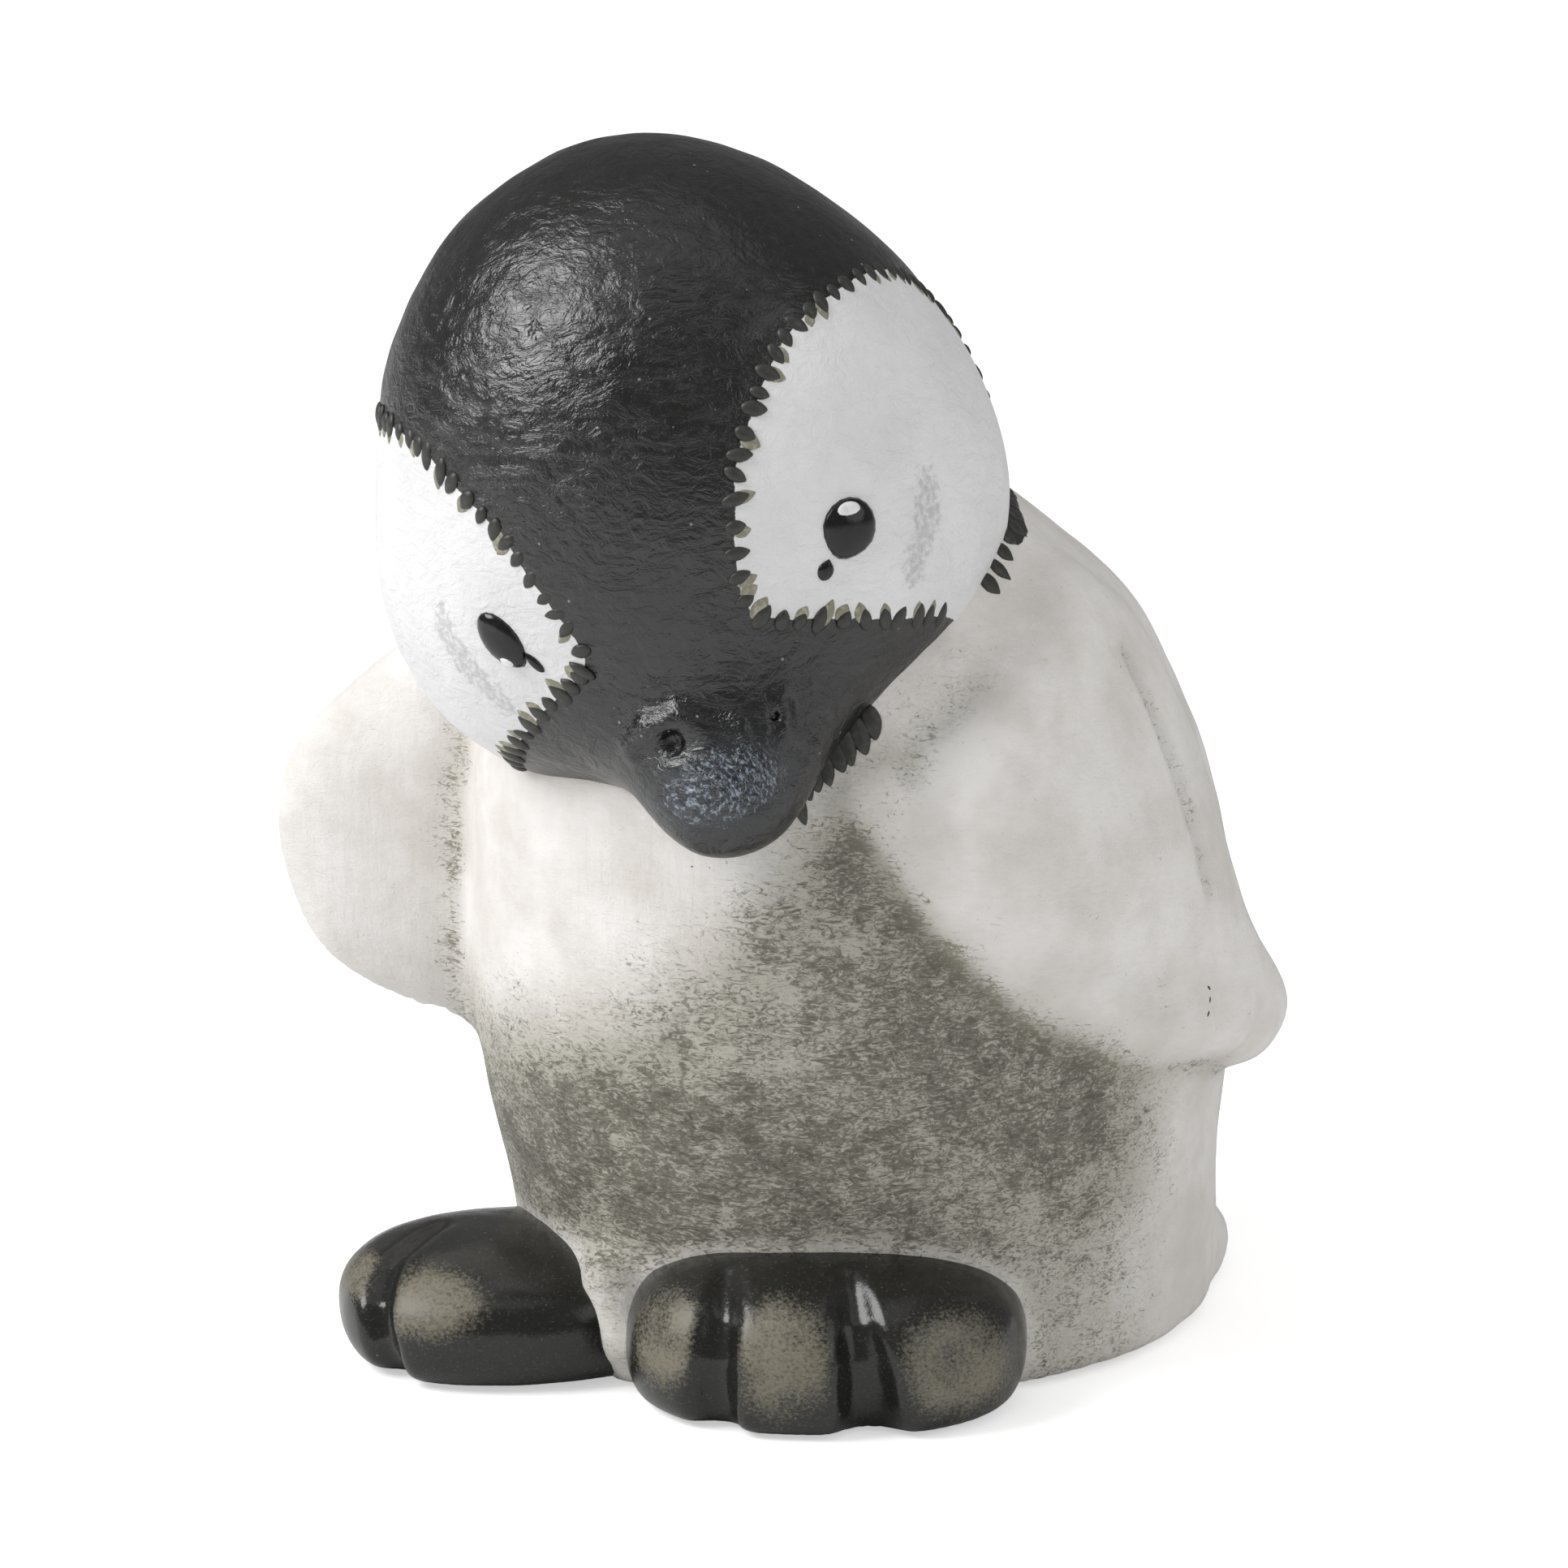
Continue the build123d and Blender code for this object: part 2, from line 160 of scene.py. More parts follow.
class Ellipsoid(Form):
    """A round lump with three half lengths along its own axes."""

    def __init__(self, centre: Iterable[float], axes: np.ndarray, radii: Iterable[float]) -> None:
        """Keep the lump's place, its axes as rows, and its half lengths.

        Args:
            centre: The lump's place.
            axes: Its axes, as rows.
            radii: Its half length along each axis.
        """
        self.centre = np.asarray(centre, float)
        self.axes = np.asarray(axes, float)
        self.radii = np.asarray(radii, float)

    def distance(self, points: np.ndarray) -> np.ndarray:
        """The distance, exact at the surface and near enough beyond it.

        Args:
            points: Places to look at, one row each.

        Returns:
            One distance for each point.
        """
        local = (points - self.centre) @ self.axes.T
        near = np.linalg.norm(local / self.radii, axis=1)
        slope = np.linalg.norm(local / self.radii**2, axis=1)
        return near * (near - 1) / np.maximum(slope, 1e-9)


class Cushion(Ellipsoid):
    """A block with soft corners: rounder than a box and squarer than an ellipsoid."""

    def __init__(
        self, centre: Iterable[float], axes: np.ndarray, radii: Iterable[float], power: float
    ) -> None:
        """Keep the block's place, axes as rows, half lengths and squareness.

        Args:
            centre: The block's place.
            axes: Its axes, as rows.
            radii: Its half length along each axis.
            power: Its squareness: 2 is round, and more is squarer.
        """
        super().__init__(centre, axes, radii)
        self.power = power

    def distance(self, points: np.ndarray) -> np.ndarray:
        """The distance, exact at the surface and near enough beyond it.

        Args:
            points: Places to look at, one row each.

        Returns:
            One distance for each point.
        """
        share = np.abs((points - self.centre) @ self.axes.T / self.radii) + 1e-9
        near = (share**self.power).sum(axis=1) ** (1 / self.power)
        slope = np.linalg.norm(share ** (self.power - 1) / self.radii, axis=1) * near ** (1 - self.power)
        return (near - 1) / np.maximum(slope, 1e-9)


class Thread(Form):
    """A round bar along a bent line, thicker or thinner along its way."""

    def __init__(self, places: Sequence[np.ndarray], radii: Sequence[float]) -> None:
        """Keep the line's corners and the radius at each."""
        self.places = np.asarray(places, float)
        self.radii = np.asarray(radii, float)

    def distance(self, points: np.ndarray) -> np.ndarray:
        """The distance from the nearest run.

        Args:
            points: Places to look at, one row each.

        Returns:
            One distance for each point.
        """
        nearest = np.full(len(points), 1e3)
        for start, end, first, last in zip(self.places, self.places[1:], self.radii, self.radii[1:]):
            run = end - start
            share = np.clip((points - start) @ run / (run @ run), 0, 1)
            gap = np.linalg.norm(points - start - share[:, None] * run, axis=1)
            nearest = np.minimum(nearest, gap - first - share * (last - first))
        return nearest


class Blend(Form):
    """Two forms joined by a fillet."""

    def __init__(self, first: Form, second: Form, width: float) -> None:
        """Keep both forms and the fillet's width."""
        self.first, self.second, self.width = first, second, width

    def distance(self, points: np.ndarray) -> np.ndarray:
        """The distance from the joined forms."""
        return smooth_union(self.first.distance(points), self.second.distance(points), self.width)


class RingLoft(Form):
    """A form run through ellipses that stand square to a straight line."""

    def __init__(
        self, origin: Iterable[float], axes: np.ndarray, rings: Sequence[Sequence[float]], rounding: float
    ) -> None:
        """Fit smooth curves through the rings.

        Args:
            origin: Where the line starts.
            axes: Side, up and along directions, as rows.
            rings: Way along, side shift, up shift, half width and half height of each ellipse.
            rounding: How softly the two ends are closed.
        """
        table = np.asarray(rings, float)
        self.origin = np.asarray(origin, float)
        self.axes = np.asarray(axes, float)
        self.curves = [natural_curve(table[:, 0], table[:, column]) for column in range(1, 5)]
        self.start, self.end = table[0, 0], table[-1, 0]
        self.rounding = rounding

    def _ratio(self, local: np.ndarray, along: np.ndarray) -> np.ndarray:
        """How far out a point is, where 1 is on the ellipse at that way along."""
        side, up, width, height = (np.interp(along, *curve) for curve in self.curves)
        return np.hypot((local[:, 0] - side) / width, (local[:, 1] - up) / height)

    def distance(self, points: np.ndarray) -> np.ndarray:
        """The distance by the ratio and its slope, cut at both ends.

        Args:
            points: Places to look at, one row each.

        Returns:
            One distance for each point.
        """
        local = (points - self.origin) @ self.axes.T
        along = np.clip(local[:, 2], self.start, self.end)
        ratio = self._ratio(local, along)
        step = 1e-3
        slope_x = (self._ratio(local + [step, 0, 0], along) - ratio) / step
        slope_y = (self._ratio(local + [0, step, 0], along) - ratio) / step
        reach = (self.end - self.start) / 400
        low, high = np.clip(along - reach, self.start, self.end), np.clip(along + reach, self.start, self.end)
        slope_z = (self._ratio(local, high) - self._ratio(local, low)) / np.maximum(high - low, 1e-6)
        slope = np.sqrt(slope_x**2 + slope_y**2 + slope_z**2)
        sides = (ratio - 1) / np.maximum(slope, 1e-4)
        ends = np.maximum(self.start - local[:, 2], local[:, 2] - self.end)
        return smooth_overlap(sides, ends, self.rounding)


def slope_of(field_of: Field, points: np.ndarray, step: float = 0.05) -> np.ndarray:
    """The direction in which a distance field grows fastest, at length one.

    Args:
        field_of: The distance field.
        points: Places to look at, one row each.
        step: How far to look to each side.

    Returns:
        One direction for each point.
    """
    slope = np.empty_like(points)
    for axis in range(3):
        shift = np.zeros(3)
        shift[axis] = step
        slope[:, axis] = field_of(points + shift) - field_of(points - shift)
    return slope / np.maximum(np.linalg.norm(slope, axis=1), 1e-9)[:, None]


def onto(field_of: Field, points: np.ndarray, rounds: int = 3) -> np.ndarray:
    """Move points along the slope until they lie on the surface.

    Args:
        field_of: The distance field.
        points: Places near its surface, one row each.
        rounds: How many steps to take.

    Returns:
        The moved points.
    """
    for _ in range(rounds):
        points = points - slope_of(field_of, points) * np.clip(field_of(points), -1.5, 1.5)[:, None]
    return points


def carved(near: np.ndarray, points: np.ndarray, cuts: Iterable[Form], width: float) -> np.ndarray:
    """Take soft grooves out of a distance field.

    Args:
        near: The distance at each point before the cuts.
        points: Places to look at, one row each.
        cuts: The forms to take out.
        width: How widely each groove's rim is rounded.

    Returns:
        The distance at each point after the cuts.
    """
    for cut in cuts:
        near = smooth_overlap(near, -cut.distance(points), width)
    return near


TUCK_DIP = 0.06
TUCK_WAY = 1.5
TUCK_ROUNDING = 0.3


def tucked(joined: np.ndarray, mine: np.ndarray, theirs: np.ndarray, reach: float) -> np.ndarray:
    """Keep one casting's share of a joined surface, and let it dive under its neighbour.

    Args:
        joined: Each point's distance from the joined surface.
        mine: Its distance from the casting's own form.
        theirs: Its distance from the neighbour's form.
        reach: How far beyond its own form the casting keeps the joined surface.

    Returns:
        Each point's distance from the casting.
    """
    dip = TUCK_DIP * ease(0.0, TUCK_WAY, mine - theirs)
    return smooth_overlap(joined + dip, mine - reach, TUCK_ROUNDING)


def lumps(points: np.ndarray, seed: int) -> np.ndarray:
    """The slight unevenness of a form shaped by hand, in millimetres."""
    return 0.22 * soft_noise(points, 9.0, seed) + 0.07 * soft_noise(points, 3.1, seed + 1)


@dataclass
class Skin:
    """A closed mesh: its points and its four-sided faces."""

    points: np.ndarray
    faces: np.ndarray

    def relaxed(self, field_of: Field, rounds: int) -> "Skin":
        """Even out the mesh without leaving the surface.

        Args:
            field_of: The distance field of the surface.
            rounds: How many times to even out.

        Returns:
            The evened skin.
        """
        points = self.points
        ends = np.concatenate([self.faces, np.roll(self.faces, -1, axis=1)]).ravel()
        starts = np.concatenate([np.roll(self.faces, -1, axis=1), self.faces]).ravel()
        count = np.bincount(starts, minlength=len(points))[:, None]
        for _ in range(rounds):
            total = np.stack([np.bincount(starts, points[ends, axis], len(points)) for axis in range(3)], 1)
            points = onto(field_of, points * 0.5 + total / count * 0.5, 1)
        return Skin(onto(field_of, points, 2), self.faces)


CORNERS = np.array([[corner & 1, corner >> 1 & 1, corner >> 2 & 1] for corner in range(8)])
EDGES = [(a, b) for a in range(8) for b in range(a + 1, 8) if abs(CORNERS[a] - CORNERS[b]).sum() == 1]
BLOCK = 4
BLOCK_REACH = 1.9


def corner_windows(shape: Sequence[int]) -> list[tuple[slice, ...]]:
    """For each of a cell's eight corners, the window that holds that corner's value for every cell."""
    return [tuple(slice(step, step + size) for step, size in zip(corner, shape)) for corner in CORNERS]


def refined(coarse: np.ndarray) -> np.ndarray:
    """Give each block's value to all the cells in it.

    Args:
        coarse: One value for each block.

    Returns:
        One value for each cell.
    """
    for axis in range(3):
        coarse = np.repeat(coarse, BLOCK, axis)
    return coarse


def corner_values(field_of: Field, low: np.ndarray, blocks: np.ndarray, cell: float) -> np.ndarray:
    """Distances at the corners of all cells, taken closely only near the surface.

    Args:
        field_of: The distance field.
        low: Lowest corner of the space.
        blocks: How many blocks of cells the space holds each way.
        cell: Size of a cell.

    Returns:
        One distance for each corner of the grid.
    """
    coarse_axes = [np.arange(number + 1) * cell * BLOCK for number in blocks]
    coarse_points = np.stack(np.meshgrid(*coarse_axes, indexing="ij"), -1).reshape(-1, 3) + low
    coarse = field_of(coarse_points).reshape(blocks + 1)
    nearest = np.full(blocks, np.inf)
    for window in corner_windows(blocks):
        nearest = np.minimum(nearest, np.abs(coarse[window]))
    close = refined(nearest < cell * BLOCK * BLOCK_REACH)
    values = np.pad(refined(coarse[:-1, :-1, :-1]), ((0, 1), (0, 1), (0, 1)), constant_values=BLOCK * cell)
    needed = np.zeros(values.shape, bool)
    for window in corner_windows(close.shape):
        needed[window] |= close
    values[needed] = field_of(np.argwhere(needed) * cell + low)
    return values


def crossing_places(values: np.ndarray, cells: np.ndarray) -> np.ndarray:
    """Where the surface runs through each cell that it crosses.

    Args:
        values: The distance at each corner of the grid.
        cells: The crossed cells.

    Returns:
        The mean of the places where it cuts each cell's edges, counted in cells.
    """
    around = np.stack([values[tuple((cells + corner).T)] for corner in CORNERS], 1)
    place, hits = np.zeros((len(cells), 3)), np.zeros(len(cells))
    for a, b in EDGES:
        first, second = around[:, a], around[:, b]
        cut = (first < 0) != (second < 0)
        share = np.where(cut, first / np.where(cut, first - second, 1.0), 0.0)
        place += np.where(cut[:, None], CORNERS[a] + share[:, None] * (CORNERS[b] - CORNERS[a]), 0.0)
        hits += cut
    return cells + place / hits[:, None]


def crossing_faces(inside: np.ndarray, number: np.ndarray) -> np.ndarray:
    """Span a face over the four cells round each edge of the grid that the surface cuts.

    Args:
        inside: Whether each corner of the grid is inside.
        number: The number of each cell's point.

    Returns:
        Four point numbers for each face, in order.
    """
    faces = []
    for axis in range(3):
        one, two = (axis + 1) % 3, (axis + 2) % 3
        first = [slice(0, size) for size in number.shape]
        second = [slice(0, size) for size in number.shape]
        second[axis] = slice(1, number.shape[axis] + 1)
        a, b = inside[tuple(first)], inside[tuple(second)]
        for leaving, turn in ((a & ~b, 1), (~a & b, -1)):
            base = np.argwhere(leaving)
            base = base[(base[:, one] > 0) & (base[:, two] > 0)]
            ring = []
            for back_one, back_two in ((1, 1), (0, 1), (0, 0), (1, 0)):
                shifted = base.copy()
                shifted[:, one] -= back_one
                shifted[:, two] -= back_two
                ring.append(number[tuple(shifted.T)])
            faces.append(np.stack(ring[::turn], 1))
    return np.concatenate(faces)


def skin_of(field_of: Field, low: Iterable[float], high: Iterable[float], cell: float) -> Skin:
    """Mesh the surface of a distance field, one point for each cell that it crosses.

    Args:
        field_of: The distance field.
        low: Lowest corner of the space to mesh.
        high: Highest corner of the space to mesh.
        cell: Size of a cell.

    Returns:
        The closed skin, evened out and lying on the surface.
    """
    low = np.asarray(low, float)
    blocks = np.ceil((np.asarray(high, float) - low) / (cell * BLOCK)).astype(int)
    values = corner_values(field_of, low, blocks, cell)
    inside = values < 0
    shape = np.array(values.shape) - 1
    total = np.zeros(shape, int)
    for window in corner_windows(shape):
        total += inside[window]
    crossed = (total > 0) & (total < len(CORNERS))
    cells = np.argwhere(crossed)
    number = np.full(shape, -1)
    number[crossed] = np.arange(len(cells))
    points = crossing_places(values, cells) * cell + low
    return Skin(points, crossing_faces(inside, number)).relaxed(field_of, 3)


def piece_from(
    name: str,
    skin: Skin,
    marks: dict[str, np.ndarray],
    material: bpy.types.Material,
    stands_for: Sequence[str] = (),
) -> bpy.types.Object:
    """Make one named piece that rides on the figurine.

    Args:
        name: The piece's name.
        skin: Its mesh in millimetres.
        marks: Painted masks, one value for each point.
        material: Its finish.
        stands_for: CAD nodes that this piece shows instead.

    Returns:
        The new object.
    """
    mesh = bpy.data.meshes.new(name)
    faces = [face if face[2] != face[3] else face[:3] for face in skin.faces.tolist()]
    mesh.from_pydata((skin.points * MM).tolist(), [], faces)
    mesh.validate()
    for mark, values in marks.items():
        layer = mesh.attributes.new(mark, "FLOAT", "POINT")
        layer.data.foreach_set("value", np.asarray(values, np.float32))
    mesh.shade_smooth()
    mesh.materials.append(material)
    piece = bpy.data.objects.new(name, mesh)
    bpy.context.scene.collection.objects.link(piece)
    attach(piece, ROOT)
    if stands_for:
        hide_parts(*stands_for)
    log.info("%s: %d points", name, len(skin.points))
    return piece


# The photograph's view


@dataclass(frozen=True)
class View:
    """Where the figurine is seen from, and how its pixels fall on it."""

    azimuth: float = 34.0
    elevation: float = 14.0
    distance: float = 900.0
    target: Place = (-7.30, -4.92, 63.9)
    pixel: float = 0.0975
    frame_size: float = 1932.0
    sensor: float = 36.0

    def axes(self) -> tuple[np.ndarray, np.ndarray, np.ndarray]:
        """Right, up and backward directions of the camera.

        Returns:
            The three directions, each at length one.
        """
        turn, rise = math.radians(self.azimuth), math.radians(self.elevation)
        right = np.array([math.cos(turn), math.sin(turn), 0.0])
        back = np.array([math.sin(turn) * math.cos(rise), -math.cos(turn) * math.cos(rise), math.sin(rise)])
        return right, np.cross(back, right), back

    def pixels(self, points: np.ndarray) -> tuple[np.ndarray, np.ndarray]:
        """Where points fall in the photograph.

        Args:
            points: Places to look at, one row each.

        Returns:
            The pixels across, and down.
        """
        right, up, back = self.axes()
        local = points - np.array(self.target)
        scale = self.distance / self.pixel / (self.distance - local @ back)
        return self.frame_size / 2 + scale * (local @ right), self.frame_size / 2 - scale * (local @ up)

    def cast(self, pixel: Pixel, field_of: Field) -> np.ndarray:
        """The first point of a surface that lies behind a pixel of the photograph.

        Args:
            pixel: The pixel, across and down.
            field_of: The surface's distance field.

        Returns:
            The point, or where the line of sight passes nearest.
        """
        right, up, back = self.axes()
        across, down = pixel[0] - self.frame_size / 2, self.frame_size / 2 - pixel[1]
        way = unit(right * across + up * down - back * self.distance / self.pixel)
        eye = np.array(self.target) + back * self.distance
        travel = self.distance - 130.0
        nearest, best = math.inf, travel
        while travel < self.distance + 130.0 and nearest > 0.01:
            gap = field_of((eye + way * travel)[None])[0]
            if gap < nearest:
                nearest, best = gap, travel
            travel += max(gap * 0.8, 0.05)
        return eye + way * best

    def build(self) -> bpy.types.Object:
        """Make the camera and use it.

        Returns:
            The camera.
        """
        right, up, back = self.axes()
        camera = bpy.data.cameras.new("photo_camera")
        camera.sensor_width = self.sensor
        camera.lens = self.sensor * (self.distance / self.pixel) / self.frame_size
        camera.clip_start, camera.clip_end = 0.05, 50.0
        item = bpy.data.objects.new("photo_camera", camera)
        rows = np.stack([right, up, back], 1)
        item.matrix_world = Matrix.Translation((np.array(self.target) + back * self.distance) * MM) @ Matrix(
            rows.tolist()
        ).to_4x4()
        bpy.context.scene.collection.objects.link(item)
        bpy.context.scene.camera = item
        return item


VIEW = View()


def cast_all(pixels: Iterable[Pixel], field_of: Field) -> list[np.ndarray]:
    """The surface points behind several pixels."""
    return [VIEW.cast(pixel, field_of) for pixel in pixels]


def traced(drawn: Drawn, field_of: Field) -> Thread:
    """A thread through places that the photograph shows on a surface, with its radius at each."""
    return Thread(cast_all(drawn[0], field_of), drawn[1])


def seen_patch(points: np.ndarray, patch: Sequence[float]) -> np.ndarray:
    """How far points lie within an oval of the photograph, from 1 inside to 0 outside.

    Args:
        points: Places to look at, one row each.
        patch: The oval's centre across and down, half width, half height and turn in degrees.

    Returns:
        One share for each point.
    """
    across, down = VIEW.pixels(points)
    turn = math.radians(patch[4])
    across, down = across - patch[0], down - patch[1]
    wide = (across * math.cos(turn) + down * math.sin(turn)) / patch[2]
    high = (down * math.cos(turn) - across * math.sin(turn)) / patch[3]
    return 1 - ease(0.45, 1.15, np.hypot(wide, high))


# Raised dabs of paint


@dataclass(frozen=True)
class Dab:
    """One drop of thick paint, from its blunt end to its point."""

    start: np.ndarray
    end: np.ndarray
    width: float
    height: float
    lift: float = 0.0
    point: float = 0.6


DAB_RINGS = (0.3, 0.58, 0.8, 0.93, 1.0)
DAB_SIDES = 18
DAB_ROOT = 0.35
DAB_TUCK = 0.12


def dab_skin(field_of: Field, dabs: Sequence[Dab]) -> Skin:
    """Lay drops of paint on a surface.

    Args:
        field_of: Distance from the surface that carries the paint.
        dabs: The drops.

    Returns:
        One skin with all the drops, each closed and a little sunk in at its rim.
    """
    turns = np.arange(DAB_SIDES) * 2 * math.pi / DAB_SIDES
    crown, root = (0.0, 0.0, 0.0), (0.0, 0.0, -1.0)
    flat = [crown] + [(ring, turn, ring) for ring in DAB_RINGS for turn in turns] + [root]
    points, rise = [], []
    for dab in dabs:
        middle, run = (dab.start + dab.end) / 2, dab.end - dab.start
        normal = slope_of(field_of, middle[None])[0]
        side = unit(np.cross(normal, run))
        for ring, turn, kind in flat:
            along = math.cos(turn)
            narrow = 1 - dab.point * max(along, 0.0) ** 2
            points.append(middle + ring * (run * along / 2 + side * math.sin(turn) * narrow * dab.width / 2))
            dome = dab.height * math.sqrt(1 - ring * ring * 0.999)
            rise.append(-DAB_ROOT if kind < 0 else dab.lift + dome - DAB_TUCK * ring**6)
    placed = onto(field_of, np.array(points))
    placed = placed + slope_of(field_of, placed) * np.array(rise)[:, None]
    faces, size = [], len(flat)
    for number in range(len(dabs)):
        base = number * size
        for side in range(DAB_SIDES):
            after = (side + 1) % DAB_SIDES
            faces.append((base, base + 1 + side, base + 1 + after, base + 1 + after))
            for ring in range(len(DAB_RINGS) - 1):
                low, high = base + 1 + ring * DAB_SIDES, base + 1 + (ring + 1) * DAB_SIDES
                faces.append((low + side, high + side, high + after, low + after))
            rim = base + 1 + (len(DAB_RINGS) - 1) * DAB_SIDES
            faces.append((rim + side, base + size - 1, rim + after, rim + after))
    return Skin(placed, np.array(faces))


# Shader desk


def shade(red: float, green: float, blue: float) -> tuple[float, float, float, float]:
    """A colour as seen on a screen, 0 to 255, turned into the light it stands for.

    Args:
        red: Red.
        green: Green.
        blue: Blue.

    Returns:
        The colour as light, with a full alpha.
    """

    def light(value: float) -> float:
        value /= 255
        return value / 12.92 if value <= 0.04045 else ((value + 0.055) / 1.055) ** 2.4

    return light(red), light(green), light(blue), 1.0


@dataclass(frozen=True)
class Grain:
    """Noise of one size, which may be turned and then squeezed so that its marks run one way."""

    size: float
    detail: float = 3.0
    roughness: float = 0.55
    turn: Place | None = None
    squeeze: Place = (1.0, 1.0, 1.0)
    distortion: float = 0.0


class Desk:
    """Lays out nodes in one node tree."""

    def __init__(self, tree: bpy.types.NodeTree) -> None:
        """Work on this tree."""
        self.tree = tree

    def put(
        self, kind: str, sockets: dict[str | int, object] | None = None, **settings: object
    ) -> bpy.types.Node:
        """Add a node, set its options, and set or join its inputs.

        Args:
            kind: The node's type.
            sockets: Values or sockets for its inputs.
            **settings: Its options.

        Returns:
            The new node.
        """
        node = self.tree.nodes.new(kind)
        for name, value in settings.items():
            setattr(node, name, value)
        for name, value in (sockets or {}).items():
            if isinstance(value, Socket):
                self.tree.links.new(value, node.inputs[name])
            else:
                node.inputs[name].default_value = value
        return node

    def math(self, operation: str, first: object, second: object = 0.0, third: object = 0.0) -> Socket:
        """One sum on numbers or sockets."""
        sockets = {0: first, 1: second, 2: third}
        return self.put("ShaderNodeMath", sockets, operation=operation).outputs[0]

    def ease(self, value: object, low: float, high: float, start: float = 0.0, end: float = 1.0) -> Socket:
        """A soft step from start to end as the value goes from low to high."""
        sockets = {"Value": value, "From Min": low, "From Max": high, "To Min": start, "To Max": end}
        return self.put("ShaderNodeMapRange", sockets, interpolation_type="SMOOTHSTEP").outputs["Result"]

    def blend(self, share: object, first: object, second: object) -> Socket:
        """Mix two colours."""
        return self.put("ShaderNodeMix", {0: share, 6: first, 7: second}, data_type="RGBA").outputs[2]

    def grain(self, place: Socket, grain: Grain) -> Socket:
        """Lay noise over a place.

        Args:
            place: The point being shaded.
            grain: The noise's size, detail and direction.

        Returns:
            The noise, between 0 and 1.
        """
        if grain.turn is not None:
            sockets = {"Vector": place, "Rotation": grain.turn, "Scale": grain.squeeze}
            place = self.put("ShaderNodeMapping", sockets).outputs["Vector"]
        sockets = {"Vector": place, "Scale": 1.0 / grain.size, "Detail": grain.detail}
        sockets |= {"Roughness": grain.roughness, "Distortion": grain.distortion}
        return self.put("ShaderNodeTexNoise", sockets).outputs["Fac"]

    def mark(self, name: str) -> Socket:
        """A painted mask of the mesh."""
        return self.put("ShaderNodeAttribute", attribute_name=name).outputs["Fac"]

    def place(self) -> Socket:
        """The point being shaded, in the frame's metres."""
        return self.put("ShaderNodeTexCoord").outputs["Object"]

    def bump(
        self, height: Socket, depth: float, strength: float = 1.0, under: Socket | None = None
    ) -> Socket:
        """A relief of a few hundredths of a millimetre.

        Args:
            height: The relief's height.
            depth: How many metres one unit of height is.
            strength: How much of it to use.
            under: A relief that lies beneath it.

        Returns:
            The bent normal.
        """
        sockets: dict[str | int, object] = {"Height": height, "Distance": depth, "Strength": strength}
        if under is not None:
            sockets["Normal"] = under
        return self.put("ShaderNodeBump", sockets).outputs["Normal"]

    def use(self, group: bpy.types.NodeTree, sockets: dict[str, object]) -> bpy.types.Node:
        """Place a shared effect with its own values.

        Args:
            group: The effect.
            sockets: Values or sockets for its inputs.

        Returns:
            The new node.
        """
        node = self.put("ShaderNodeGroup", node_tree=group)
        for name, value in sockets.items():
            if isinstance(value, Socket):
                self.tree.links.new(value, node.inputs[name])
            else:
                node.inputs[name].default_value = value
        return node


def new_material(name: str) -> tuple[bpy.types.Material, Desk, bpy.types.Node]:
    """Start an empty material.

    Args:
        name: The material's name.

    Returns:
        The material, its desk and its main shader.
    """
    material = bpy.data.materials.new(name)
    material.use_nodes = True
    material.node_tree.nodes.clear()
    desk = Desk(material.node_tree)
    shader = desk.put("ShaderNodeBsdfPrincipled")
    desk.put("ShaderNodeOutputMaterial", {"Surface": shader.outputs["BSDF"]})
    return material, desk, shader


def join(desk: Desk, shader: bpy.types.Node, **sockets: Socket) -> None:
    """Join values to the main shader's inputs, named with underscores."""
    for name, value in sockets.items():
        desk.tree.links.new(value, shader.inputs[name.replace("_", " ")])


def new_group(
    name: str, inputs: dict[str, float], outputs: Sequence[str]
) -> tuple[Desk, bpy.types.Node, bpy.types.Node]:
    """A shared effect that reads a place and a few numbers.

    Args:
        name: The effect's name.
        inputs: Its number inputs and their usual values.
        outputs: The names of the numbers that it gives.

    Returns:
        The desk, the node of inputs and the node of outputs.
    """
    tree = bpy.data.node_groups.new(name, "ShaderNodeTree")
    tree.interface.new_socket(name="Place", in_out="INPUT", socket_type="NodeSocketVector")
    for label, value in inputs.items():
        socket = tree.interface.new_socket(name=label, in_out="INPUT", socket_type="NodeSocketFloat")
        socket.default_value = value
    for label in outputs:
        tree.interface.new_socket(name=label, in_out="OUTPUT", socket_type="NodeSocketFloat")
    desk = Desk(tree)
    return desk, desk.put("NodeGroupInput"), desk.put("NodeGroupOutput")


